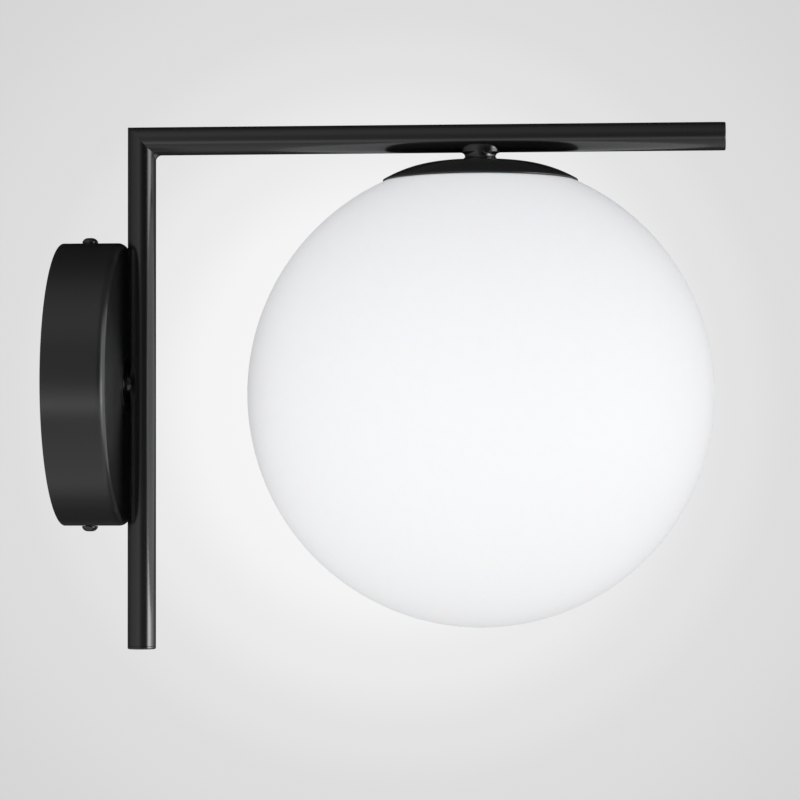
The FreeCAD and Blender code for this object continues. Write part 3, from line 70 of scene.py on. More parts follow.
# The least rounding of an edge, and how far a cutter runs past what it cuts.
BROKEN_EDGE = 0.1
PAST = 1.0

# A fillet's largest share of the shorter side, and the reach of its support points.
MOST_TRIM = 0.49
SUPPORT = 1.5
MOST_SUPPORT = 2.02

# A machine thread's depth over its pitch, the spans along one pitch, and the nipples' own thread.
THREAD_DEPTH = 0.55
METRIC_SPANS = 8
LAMP_SPANS = 16
NIPPLE_PITCH = 1.0
NIPPLE_CHAMFER = 0.4

Point = Sequence[float]
Grid = np.ndarray
Rule = Callable[[Grid, Grid], Grid]
Rows = tuple[tuple[float, ...], ...]
Ramp = tuple[tuple[float, float], ...]
Colour = tuple[float, float, float]
Piece = bpy.types.Object
Socket = bpy.types.NodeSocket
Node = bpy.types.Node
Tree = bpy.types.NodeTree


class Axis(Enum):
    """The direction of a turning line, as columns: two radial directions and its own."""

    OUT = ((0, 1, 0), (0, 0, 1), (1, 0, 0))
    UP = ((1, 0, 0), (0, 1, 0), (0, 0, 1))


@dataclass(frozen=True)
class Spindle:
    """A line that pieces are turned about, by its direction and a point on it."""

    axis: Axis
    origin: tuple[float, float, float] = (0.0, 0.0, 0.0)

    def points(self, radius: Grid, turn: Grid, height: Grid) -> Grid:
        """Points round the line.

        A point is the origin, plus the radius times cosine and sine of the turn along the two
        radial directions, plus the height along the line.

        Args:
            radius: Distances from the line.
            turn: Angles round the line in radians.
            height: Distances along the line from its point.

        Returns:
            The points, their coordinates last.
        """
        first, second, along = (np.array(column, float) for column in self.axis.value)
        radial = np.cos(turn)[..., None] * first + np.sin(turn)[..., None] * second
        return np.array(self.origin, float) + radius[..., None] * radial + height[..., None] * along


@dataclass(frozen=True)
class Plan:
    """Places and sizes that several sub-assemblies share."""

    tube_radius: float = 6.1
    tube_wall: float = 1.0
    riser_x: float = 33.57
    riser_end: float = -114.15
    arm_z: float = 105.17
    arm_end: float = 285.1
    plug_flange: float = 1.2
    globe_x: float = 180.15
    neck_length: float = 3.92
    canopy_depth: float = 26.9
    canopy_radius: float = 61.0
    lamp_pitch: float = 3.629

    @property
    def arm_underside(self) -> float:
        """The height of the arm's lowest line."""
        return self.arm_z - self.tube_radius

    @property
    def cap_seat(self) -> float:
        """The height of the glass cap's flat seat."""
        return self.arm_underside - self.neck_length

    def bulge(self, y: Grid) -> Grid:
        """How far a tube stands off its axis at a distance across it: the root of the squares' difference."""
        return np.sqrt(np.maximum(self.tube_radius ** 2 - y ** 2, 0))


PLAN = Plan()
CANOPY_LINE = Spindle(Axis.OUT)
GLOBE_LINE = Spindle(Axis.UP, (PLAN.globe_x, 0.0, 0.0))


def arc(centre: Point, radius: float, start: float, end: float, steps: int) -> Grid:
    """Points along a circle: its centre plus the radius times cosine and sine of the angle.

    Args:
        centre: Radius and height of the circle's centre.
        radius: The circle's radius.
        start: First angle in degrees, 0 pointing outwards and 90 up the line.
        end: Last angle in degrees.
        steps: Number of spans.

    Returns:
        One row of radius and height for each of the steps + 1 points.
    """
    angle = np.radians(np.linspace(start, end, steps + 1))
    return np.stack([centre[0] + radius * np.cos(angle), centre[1] + radius * np.sin(angle)], axis=1)


def arc_through(first: Point, middle: Point, last: Point, steps: int = 12) -> Grid:
    """Points along the circle through three points.

    The centre is where the perpendicular bisectors meet, and the angle runs from the first point
    to the last by way of the middle one.

    Args:
        first: Radius and height of the first point.
        middle: A point between the two.
        last: Radius and height of the last point.
        steps: Number of spans.

    Returns:
        One row of radius and height for each of the steps + 1 points.
    """
    a, b, c = (np.array(point, float) for point in (first, middle, last))
    centre = np.linalg.solve(2 * np.array([b - a, c - a]), np.array([b @ b - a @ a, c @ c - a @ a]))
    start, through, end = (math.atan2(*(point - centre)[::-1]) for point in (a, b, c))
    sweep = (end - start) % TURN
    if (through - start) % TURN > sweep:
        sweep -= TURN
    radius = float(np.linalg.norm(a - centre))
    return arc(centre, radius, math.degrees(start), math.degrees(start + sweep), steps)


def bend(corners: Sequence[Point], index: int, steps: int) -> Grid:
    """The points that take the place of one corner.

    A fillet's arc is tangent to both sides and its centre lies on the corner's bisector. It is
    trimmed where a side is short, and a support point on each side keeps the flats' shading flat.

    Args:
        corners: Radius, height and fillet of every corner.
        index: Which corner.
        steps: Number of spans in the fillet.

    Returns:
        The corner itself where it has no fillet, and otherwise its arc between two support points.
    """
    here, fillet = np.array(corners[index][:2]), corners[index][2]
    if fillet <= 0:
        return here[None]
    back, ahead = (np.array(corners[other % len(corners)][:2]) - here for other in (index - 1, index + 1))
    room = MOST_TRIM * min(np.linalg.norm(back), np.linalg.norm(ahead))
    back, ahead = back / np.linalg.norm(back), ahead / np.linalg.norm(ahead)
    half = math.acos(float(np.clip(back @ ahead, -1, 1))) / 2
    trim = min(fillet / math.tan(half), room)
    centre = here + (back + ahead) / np.linalg.norm(back + ahead) * trim / math.cos(half)
    first, last = here + back * trim - centre, here + ahead * trim - centre
    share = np.linspace(0, 1, steps + 1)[:, None]
    span = math.pi - 2 * half
    curve = centre + (np.sin((1 - share) * span) * first + np.sin(share * span) * last) / math.sin(span)
    support = min(trim * (1 + SUPPORT / steps), room * MOST_SUPPORT)
    return np.concatenate([[here + back * support], curve, [here + ahead * support]])


def outline(*parts: Point | Grid, steps: int = 5) -> Grid:
    """A closed outline from corners and curves.

    Args:
        parts: Corners of radius, height and, where they are rounded, fillet, or curves as rows.
        steps: Number of spans in each fillet.

    Returns:
        The outline's points, the first one again at the end.
    """
    corners: list[Point] = []
    for part in parts:
        rows = part if isinstance(part, np.ndarray) else [part]
        corners += [(*row, 0.0)[:3] for row in rows]
    points = np.concatenate([bend(corners, index, steps) for index in range(len(corners))])
    return np.concatenate([points, points[:1]])


def open_path(points: Sequence[Point], fillet: float, steps: int = 6) -> Grid:
    """An open line through points.

    Args:
        points: X and Z of each point.
        fillet: The radius of the inner corners.
        steps: Number of spans in each fillet.

    Returns:
        The line's points.
    """
    inner = len(points) - 1
    corners = [(x, z, fillet if 0 < index < inner else 0.0) for index, (x, z) in enumerate(points)]
    return np.concatenate([bend(corners, index, steps) for index in range(len(corners))])


def lifted(level: float, *points: Point) -> list[tuple[float, float]]:
    """Pairs of radius and rise as pairs of radius and height above a level."""
    return [(radius, level + rise) for radius, rise in points]


def open_bowl(radius: float, wall: float, centre: float, mouth: float, edges: Point, steps: int) -> Grid:
    """The outline of a round shell that is open at the top: two circles about one centre.

    Args:
        radius: The outer circle's radius.
        wall: The shell's thickness.
        centre: The circles' height.
        mouth: The height of the flat edge.
        edges: Fillets of the edge's outer and inner corner.
        steps: Number of spans in each circle.

    Returns:
        The closed outline.
    """
    starts = [math.degrees(math.asin((mouth - centre) / size)) for size in (radius, radius - wall)]
    outside = arc((0, centre), radius, starts[0], -90, steps)
    inside = arc((0, centre), radius - wall, -90, starts[1], steps)
    return outline((*outside[0], edges[0]), outside[1:], inside[:-1], (*inside[-1], edges[1]))


def turned(profile: Grid | Rows, line: Spindle, steps: int = 128, flutes: int = 0,
           depth: Grid | float = 0.0) -> Grid:
    """A profile carried round a line.

    Flutes take half the depth times one minus the cosine of their count times the turn off the
    radius.

    Args:
        profile: Radius and height of each point.
        line: The line of the turning.
        steps: Number of spans round the line.
        flutes: Number of flutes round the piece.
        depth: The flutes' depth at each point of the profile.

    Returns:
        A grid of points, one row for each turn from zero to a whole one.
    """
    turn = np.linspace(0, TURN, steps + 1)[:, None]
    radius, height = np.array(profile, float).T
    return line.points(radius - depth * (1 - np.cos(flutes * turn)) / 2, turn, height)


def faded(level: Grid, low: float, high: float, run: float) -> Grid:
    """A share that rises from 0 at one height to 1 within a run, and falls to 0 again at the other."""
    return np.clip(np.minimum(level - low, high - level) / run, 0, 1)


def threaded(rule: Rule, low: float, high: float, pitch: float, line: Spindle, steps: int,
             spans: int) -> Grid:
    """A right-handed screw surface.

    Its columns climb one pitch in a turn, so that they follow the thread, and are held at the two
    ends. The phase is the height over the pitch, less the share of the turn.

    Args:
        rule: Gives the radius from the height and the phase.
        low: The lower end's height.
        high: The upper end's height.
        pitch: The climb of one turn.
        line: The screw's line.
        steps: Number of spans round the line.
        spans: Number of spans along one pitch.

    Returns:
        A grid of points, one row for each turn from zero to a whole one.
    """
    turn = np.linspace(0, 1, steps + 1)[:, None]
    count = math.ceil((high - low) / pitch) + 1
    climb = np.arange(-spans, count * spans + 1) / spans
    level = np.clip(low + pitch * (climb + turn), low, high)
    return line.points(rule(level, level / pitch - turn), turn * TURN, level)


def machine_thread(radius: float, low: float, high: float, pitch: float, line: Spindle, steps: int) -> Grid:
    """A machine thread.

    The radius falls by a share of the pitch times a triangle wave of the phase, which fades over
    one pitch at each end.

    Args:
        radius: The thread's outer radius.
        low: The lower end's height.
        high: The upper end's height.
        pitch: The climb of one turn.
        line: The screw's line.
        steps: Number of spans round the line.

    Returns:
        A grid of points, one row for each turn from zero to a whole one.
    """
    def rule(level: Grid, phase: Grid) -> Grid:
        """The radius at a height and a phase."""
        wave = faded(level, low, high, pitch) * np.abs(2 * (phase % 1) - 1)
        return radius - THREAD_DEPTH * pitch * wave

    return threaded(rule, low, high, pitch, line, steps, METRIC_SPANS)


def swept_strip(path: Grid, width: float, thickness: float, bevel: float) -> Grid:
    """A flat strip carried along a path in X and Z.

    Each cross-section is a rectangle with cut corners, its thickness along the path's normal and
    its width along Y. A point at each end closes the strip.

    Args:
        path: X and Z of each point of the strip's middle line.
        width: The strip's width.
        thickness: The strip's thickness.
        bevel: The size of the cut corners.

    Returns:
        A grid of points, one row for each point of the path and one for each end.
    """
    run = np.gradient(path, axis=0)
    run /= np.linalg.norm(run, axis=1)[:, None]
    normal = np.stack([-run[:, 1], run[:, 0]], axis=1)
    half, deep = width / 2, thickness / 2
    flat, side = half - bevel, deep - bevel
    corners = [(-half, -side), (-half, side), (-flat, deep), (flat, deep), (half, side)]
    section = np.array([*corners, (half, -side), (flat, -deep), (-flat, -deep), corners[0]])
    rows = np.empty((len(path), len(section), 3))
    rows[..., ::2] = path[:, None] + normal[:, None] * section[:, 1, None]
    rows[..., 1] = section[:, 0]
    ends = [np.broadcast_to(rows[end, :-1].mean(axis=0), rows[end].shape)[None] for end in (0, -1)]
    return np.concatenate([ends[0], rows, ends[1]])


def rod(radius: float, low: float, high: float, line: Spindle, steps: int = 48) -> Grid:
    """A closed round bar along a line, from one height to another, as a grid."""
    return turned(((0, low), (radius, low), (radius, high), (0, high)), line, steps)


def build(name: str, grids: Sequence[Grid]) -> Piece:
    """A closed mesh object from grids of points that meet edge to edge.

    Args:
        name: The piece's name.
        grids: Rows by columns by three, in millimetres.

    Returns:
        The new object, at the origin.
    """
    points, quads, count = [], [], 0
    for grid in grids:
        rows, columns = grid.shape[:2]
        first = np.arange(rows - 1)[:, None] * columns + np.arange(columns - 1) + count
        quads.append(first.reshape(-1, 1) + np.array([0, columns, columns + 1, 1]))
        points.append(grid.reshape(-1, 3) * MM)
        count += rows * columns
    mesh = bpy.data.meshes.new(name)
    mesh.from_pydata(np.concatenate(points), [], np.concatenate(quads))
    close_mesh(mesh, CREASE)
    return placed(name, mesh)


def placed(name: str, data: bpy.types.ID) -> Piece:
    """A new object.

    Args:
        name: The object's name.
        data: Its mesh, camera or lamp.

    Returns:
        The object, in the scene and at the origin.
    """
    piece = bpy.data.objects.new(name, data)
    bpy.context.scene.collection.objects.link(piece)
    return piece


def close_mesh(mesh: bpy.types.Mesh, crease: float) -> None:
    """Merge doubles, drop empty faces, point faces outwards and shade smooth up to a crease.

    Args:
        mesh: The mesh.
        crease: Edges sharper than this many degrees stay sharp.
    """
    work = bmesh.new()
    work.from_mesh(mesh)
    bmesh.ops.remove_doubles(work, verts=work.verts, dist=MERGE_DISTANCE)
    bmesh.ops.dissolve_degenerate(work, edges=work.edges, dist=MERGE_DISTANCE)
    bmesh.ops.recalc_face_normals(work, faces=work.faces)
    work.to_mesh(mesh)
    work.free()
    mesh.shade_smooth()
    mesh.set_sharp_from_angle(angle=math.radians(crease))


def cut(piece: Piece, cutters: Sequence[Grid]) -> None:
    """Take closed grids out of a piece and keep the result as its mesh.

    Args:
        piece: The piece.
        cutters: The grids.
    """
    tools = [build("cutter", [grid]) for grid in cutters]
    for tool in tools:
        modifier = piece.modifiers.new("cut", "BOOLEAN")
        modifier.object = tool
        modifier.operation = "DIFFERENCE"
        modifier.solver = "EXACT"
    bpy.context.view_layer.update()
    shaped = bpy.data.meshes.new_from_object(piece.evaluated_get(bpy.context.evaluated_depsgraph_get()))
    piece.modifiers.clear()
    piece.data = shaped
    close_mesh(shaped, CREASE)
    for tool in tools:
        bpy.data.objects.remove(tool)


def smooth_copy(node: Piece) -> Piece:
    """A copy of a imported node, merged and shaded smooth between its edges.

    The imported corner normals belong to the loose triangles, so they go before the merge.

    Args:
        node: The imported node's object.

    Returns:
        The new object, at the origin.
    """
    mesh = node.data.copy()
    loose = mesh.attributes.get("custom_normal")
    if loose:
        mesh.attributes.remove(loose)
    close_mesh(mesh, COPY_CREASE)
    return placed(f"{node.name}_dressed", mesh)


@dataclass
class Bench:
    """The node tree of one material, world or group, with short ways to add and join nodes."""

    tree: Tree

    def __post_init__(self) -> None:
        """Empty the tree."""
        self.tree.nodes.clear()

    def add(self, kind: str, **settings: object) -> Node:
        """Add a node.

        Args:
            kind: The node's kind, without its usual prefix.
            settings: The node's own settings.

        Returns:
            The new node.
        """
        node = self.tree.nodes.new("ShaderNode" + kind)
        for key, value in settings.items():
            setattr(node, key, value)
        return node

    def put(self, place: Socket, value: object) -> None:
        """Link a socket to an input, or set the input's own number, vector or colour.

        Args:
            place: The input.
            value: A socket, a number, a vector or a colour without its alpha.
        """
        if isinstance(value, bpy.types.NodeSocket):
            self.tree.links.new(value, place)
        else:
            place.default_value = (*value, 1.0) if place.type == "RGBA" else value

    def feed(self, node: Node, **values: object) -> Node:
        """Set or link a node's inputs by name.

        Args:
            node: The node.
            values: What goes into each input, an underscore standing for a space in its name.

        Returns:
            The same node.
        """
        for key, value in values.items():
            self.put(node.inputs[key.replace("_", " ")], value)
        return node

    def math(self, operation: str, *values: float | Socket) -> Socket:
        """A calculation.

        Args:
            operation: The Math node's operation.
            values: Its numbers or sockets in order.

        Returns:
            The result's socket.
        """
        node = self.add("Math", operation=operation)
        for place, value in zip(node.inputs, values):
            self.put(place, value)
        return node.outputs[0]

    def blend(self, share: Socket, low: object, high: object) -> Socket:
        """A colour between two.

        Args:
            share: 0 for the first colour and 1 for the second.
            low: The first colour or its socket.
            high: The second colour or its socket.

        Returns:
            The colour's socket.
        """
        node = self.feed(self.add("Mix", data_type="RGBA"), Factor=share)
        first, second = (place for place in node.inputs if place.type == "RGBA")
        self.put(first, low)
        self.put(second, high)
        return next(place for place in node.outputs if place.type == "RGBA")

    def ramp(self, share: Socket, stops: Ramp) -> Socket:
        """A grey that follows a ramp.

        Args:
            share: Where on the ramp, from 0 to 1.
            stops: Place and level of each stop.

        Returns:
            The grey's socket.
        """
        node = self.feed(self.add("ValToRGB"), Fac=share)
        node.color_ramp.interpolation = "EASE"
        elements = node.color_ramp.elements
        while len(elements) < len(stops):
            elements.new(0.5)
        for element, (place, level) in zip(elements, stops):
            element.position = place
            element.color = (level, level, level, 1.0)
        return node.outputs["Color"]

    def group(self, tree: Tree, **values: float) -> Socket:
        """Place a shared group.

        Args:
            tree: The group's tree.
            values: Its named values.

        Returns:
            What it puts out for the piece's Object coordinates.
        """
        place = self.add("TexCoord").outputs["Object"]
        return self.feed(self.add("Group", node_tree=tree), Vector=place, **values).outputs[0]


def new_group(name: str, values: Sequence[str], result: str, kind: str) -> tuple:
    """An empty node group that takes a Vector and named values.

    Args:
        name: The group's name.
        values: The values' names.
        result: The name of what it puts out.
        kind: The result's socket type, without its usual prefix.

    Returns:
        The group's bench, the sockets that it is given and the one that it puts out.
    """
    tree = bpy.data.node_groups.new(name, "ShaderNodeTree")
    tree.interface.new_socket("Vector", in_out="INPUT", socket_type="NodeSocketVector")
    for value in values:
        tree.interface.new_socket(value, in_out="INPUT", socket_type="NodeSocketFloat")
    tree.interface.new_socket(result, in_out="OUTPUT", socket_type="NodeSocket" + kind)
    bench = Bench(tree)
    given, taken = tree.nodes.new("NodeGroupInput"), tree.nodes.new("NodeGroupOutput")
    return bench, given.outputs, taken.inputs[result]


def cloud_group() -> Tree:
    """Slow clouds of unevenness.

    Returns:
        A group whose Value wanders between Low and High over the surface.
    """
    bench, given, value = new_group("cloud", ("Scale", "Low", "High"), "Value", "Float")
    noise = bench.feed(bench.add("TexNoise"), Detail=4.0, Vector=given["Vector"], Scale=given["Scale"])
    spread = bench.feed(bench.add("MapRange"), Value=noise.outputs["Fac"], From_Min=0.3, From_Max=0.7,
                        To_Min=given["Low"], To_Max=given["High"])
    bench.put(value, spread.outputs["Result"])
    return bench.tree


def skin_group(name: str, detail: float, turning: bool) -> Tree:
    """A finely uneven skin, or fine turning lines round the X axis.

    Turning lines are noise read at the depth along X and the distance from it alone.

    Args:
        name: The group's name.
        detail: How many finer layers the noise has.
        turning: Whether it has turning lines.

    Returns:
        A group that puts out the Normal of fine noise.
    """
    bench, given, normal = new_group(name, ("Scale", "Strength", "Distance"), "Normal", "Vector")
    place = given["Vector"]
    if turning:
        parts = bench.feed(bench.add("SeparateXYZ"), Vector=place).outputs
        squares = [bench.math("POWER", parts[key], 2.0) for key in ("Y", "Z")]
        radius = bench.math("SQRT", bench.math("ADD", *squares))
        place = bench.feed(bench.add("CombineXYZ"), X=parts["X"], Y=radius).outputs["Vector"]
    noise = bench.feed(bench.add("TexNoise"), Detail=detail, Vector=place, Scale=given["Scale"])
    bump = bench.feed(bench.add("Bump"), Height=noise.outputs["Fac"], Strength=given["Strength"],
                      Distance=given["Distance"])
    bench.put(normal, bump.outputs["Normal"])
    return bench.tree


@dataclass(frozen=True)
class Effects:
    """The node groups that the finishes share."""

    cloud: Tree = field(default_factory=cloud_group)
    peel: Tree = field(default_factory=lambda: skin_group("peel", 2.0, False))
    lathe: Tree = field(default_factory=lambda: skin_group("lathe_lines", 3.0, True))


@dataclass(frozen=True)
class Finish:
    """A finish with a wandering roughness and colour and a fine skin."""

    slot: str
    colour: Colour
    rough: tuple[float, float]
    metallic: float = 0.0
    cloud_scale: float = 60.0
    tint: float = 0.06
    skin_scale: float = 900.0
    skin_strength: float = 0.08
    skin_distance: float = 0.0001
    coat: float = 0.0
    coat_roughness: float = 0.1
    specular: float = 0.5
    brushed: float = 0.0
    brushed_turn: float = 0.25
    subsurface: float = 0.0
    subsurface_scale: float = 0.004

    def make(self, name: str, effects: Effects) -> bpy.types.Material:
        """Make the material.

        Args:
            name: The material's name.
            effects: The shared node groups.

        Returns:
            The material, with clouds in its roughness and colour and a finely uneven skin.
        """
        material = bpy.data.materials.new(name)
        material.use_nodes = True
        bench = Bench(material.node_tree)
        low, high = self.rough
        shader = bench.feed(
            bench.add("BsdfPrincipled"), Base_Color=self.paint(bench, effects), Metallic=self.metallic,
            Roughness=bench.group(effects.cloud, Scale=self.cloud_scale, Low=low, High=high),
            Normal=bench.group(self.skin(effects), Scale=self.skin_scale, Strength=self.skin_strength,
                               Distance=self.skin_distance),
            Coat_Weight=self.coat, Coat_Roughness=self.coat_roughness, Specular_IOR_Level=self.specular,
            Anisotropic=self.brushed, Anisotropic_Rotation=self.brushed_turn,
            Subsurface_Weight=self.subsurface, Subsurface_Scale=self.subsurface_scale)
        self.brush(bench, shader)
        bench.feed(bench.add("OutputMaterial"), Surface=shader.outputs["BSDF"])
        return material

    def brush(self, bench: Bench, shader: Node) -> None:
        """Give the shader the direction of the finish's lines, if it has any."""

    def skin(self, effects: Effects) -> Tree:
        """The group that gives the skin's normal."""
        return effects.peel

    def paint(self, bench: Bench, effects: Effects) -> Socket:
        """The colour, a little deeper in some clouds.

        Args:
            bench: The material's bench.
            effects: The shared node groups.

        Returns:
            The colour's socket.
        """
        shade = bench.group(effects.cloud, Scale=self.cloud_scale / 2, Low=0.0, High=1.0)
        deeper = tuple(channel * (1 - self.tint) for channel in self.colour)
        return bench.blend(shade, self.colour, deeper)


@dataclass(frozen=True)
class SpunFinish(Finish):
    """A finish whose skin has fine turning lines round the canopy's axis."""

    def brush(self, bench: Bench, shader: Node) -> None:
        """Lay the lines round the axis: their direction is the axis crossed with the place.

        Args:
            bench: The material's bench.
            shader: The material's shader.
        """
        along = bench.add("VectorMath", operation="CROSS_PRODUCT")
        bench.put(along.inputs[0], (1, 0, 0))
        bench.put(along.inputs[1], bench.add("TexCoord").outputs["Object"])
        bench.feed(shader, Tangent=along.outputs["Vector"])

    def skin(self, effects: Effects) -> Tree:
        """The group of the turning lines."""
        return effects.lathe


@dataclass(frozen=True)
class StripedFinish(Finish):
    """Insulation in two colours, in stripes along the wire by the side that the surface faces."""

    stripe: Colour = (0.75, 0.60, 0.05)
    stripe_from: float = 0.3

    def paint(self, bench: Bench, effects: Effects) -> Socket:
        """The stripe's colour where the surface faces away from the wall.

        Args:
            bench: The material's bench.
            effects: The shared node groups.

        Returns:
            The colour's socket.
        """
        facing = bench.feed(bench.add("SeparateXYZ"), Vector=bench.add("NewGeometry").outputs["Normal"])
        side = bench.math("GREATER_THAN", facing.outputs["X"], self.stripe_from)
        return bench.blend(side, super().paint(bench, effects), self.stripe)


BLACK = (0.0036, 0.0036, 0.0038)


class Look(Enum):
    """Every finish of the sconce."""

    BLACK_COAT = Finish("black_metal", BLACK, (0.17, 0.22), skin_scale=600, skin_strength=0.03, coat=0.5,
                        specular=1.0)
    SPUN_BLACK_COAT = SpunFinish("black_metal", BLACK, (0.28, 0.33), skin_scale=1300, skin_strength=0.10,
                                 coat=0.45, specular=1.0, brushed=0.8)
    # The cap's coat is the same black with a greyer base colour: a painted sheen that stands for the light
    # its top catches.
    CAP_COAT = Finish("black_metal", (0.009, 0.009, 0.0095), (0.28, 0.34), skin_scale=600, skin_strength=0.03,
                      coat=0.3, specular=1.0)
    OPAL_GLASS = Finish("opal_glass", (0.93, 0.93, 0.938), (0.44, 0.50), cloud_scale=12, skin_scale=22,
                        skin_strength=0.05, skin_distance=0.001, tint=0.008, specular=0.06, subsurface=0.12)
    SILICONE = Finish("silicone", (0.80, 0.80, 0.78), (0.45, 0.55), subsurface=0.3)
    ZINC_PLATE = Finish("zinc_steel", (0.62, 0.62, 0.60), (0.26, 0.42), metallic=1.0, cloud_scale=150)
    BARE_SPRING_STEEL = Finish("spring_steel", (0.5, 0.5, 0.5), (0.22, 0.32), metallic=1.0, cloud_scale=120)
    TIN_PLATE = Finish("tinned_copper", (0.70, 0.68, 0.64), (0.25, 0.40), metallic=1.0, cloud_scale=200)
    MACHINED_BRASS = Finish("brass", (0.78, 0.60, 0.28), (0.22, 0.34), metallic=1.0, cloud_scale=200)
    NATURAL_NYLON = Finish("clear_nylon", (0.80, 0.80, 0.76), (0.35, 0.45), subsurface=0.2)
    BLACK_RESIN = Finish("black_plastic", (0.03, 0.03, 0.03), (0.38, 0.48), skin_scale=1600)
    GLAZED_CERAMIC = Finish("ceramic", (0.86, 0.85, 0.82), (0.12, 0.20), coat=0.3)
    BROWN_PVC = Finish("brown_insulation", (0.23, 0.12, 0.07), (0.35, 0.45))
    BLUE_PVC = Finish("blue_insulation", (0.08, 0.19, 0.48), (0.35, 0.45))
    STRIPED_PVC = StripedFinish("earth_insulation", (0.14, 0.42, 0.09), (0.35, 0.45))
    FUSED_BLACK_GLASS = Finish("black_glass", (0.015, 0.015, 0.015), (0.06, 0.10))
    DRAWN_ALUMINIUM = Finish("bulb_metal", (0.74, 0.73, 0.71), (0.20, 0.30), metallic=1.0, cloud_scale=150)
    WHITE_RESIN = Finish("white_plastic", (0.87, 0.87, 0.85), (0.30, 0.38), skin_scale=1500)
    MILKY_DOME = Finish("bulb_diffuser", (0.90, 0.90, 0.88), (0.42, 0.50), subsurface=0.3)
    WHITE_MASK = Finish("board", (0.84, 0.84, 0.81), (0.35, 0.50), skin_scale=2500)
    YELLOW_PHOSPHOR = Finish("led_yellow", (0.90, 0.70, 0.16), (0.30, 0.40))


class Body(Enum):
    """The bodies that pieces move with."""

    FRAME = "frame"
    GLOBE = "globe"
    BULB = "bulb"
    BULB_LIFT = "bulb_lift"
    TOP_SCREW = "canopy_screw_top"
    BOTTOM_SCREW = "canopy_screw_bottom"


@dataclass
class Wardrobe:
    """The finishes' materials, each made when it is first asked for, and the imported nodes."""

    nodes: dict[str, Piece]
    effects: Effects = field(default_factory=Effects)
    made: dict[Look, bpy.types.Material] = field(default_factory=dict)

    def dress(self, piece: Piece, look: Look, *nodes: str, body: Body = Body.FRAME) -> None:
        """Give a piece its finish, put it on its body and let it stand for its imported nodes.

        Args:
            piece: The finished piece.
            look: Its finish.
            nodes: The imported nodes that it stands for.
            body: The body that it moves with.
        """
        name = look.name.lower()
        if look not in self.made:
            self.made[look] = look.value.make(name, self.effects)
        piece.data.materials.clear()
        piece.data.materials.append(self.made[look])
        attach(piece, body.value)
        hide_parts(*nodes)
        LOG.info("%s: %d faces, %s, on %s", piece.name, len(piece.data.polygons), name, body.value)

    def dress_copies(self, look: Look, *nodes: str, body: Body = Body.FRAME) -> None:
        """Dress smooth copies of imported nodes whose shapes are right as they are."""
        for node in nodes:
            self.dress(smooth_copy(self.nodes[node]), look, node, body=body)


@dataclass
class Assembly:
    """A sub-assembly, whose fields are its sizes."""

    wardrobe: Wardrobe

    def build(self) -> None:
        """Build and dress every piece."""
        raise NotImplementedError


def threaded_tube(name: str, radius: float, bore: float, low: float, high: float, line: Spindle) -> Piece:
    """A nipple: a machine-threaded tube with chamfered ends.

    Args:
        name: The piece's name.
        radius: The thread's outer radius.
        bore: The bore's radius.
        low: The lower end's height.
        high: The upper end's height.
        line: The nipple's line.

    Returns:
        The nipple.
    """
    start, end, waist = low + NIPPLE_CHAMFER, high - NIPPLE_CHAMFER, radius - NIPPLE_CHAMFER
    thread = machine_thread(radius, start, end, NIPPLE_PITCH, line, steps=64)
    rest = ((radius, end), (waist, high), (bore, high), (bore, low), (waist, low), (radius, start))
    return build(name, [thread, turned(rest, line, steps=64)])


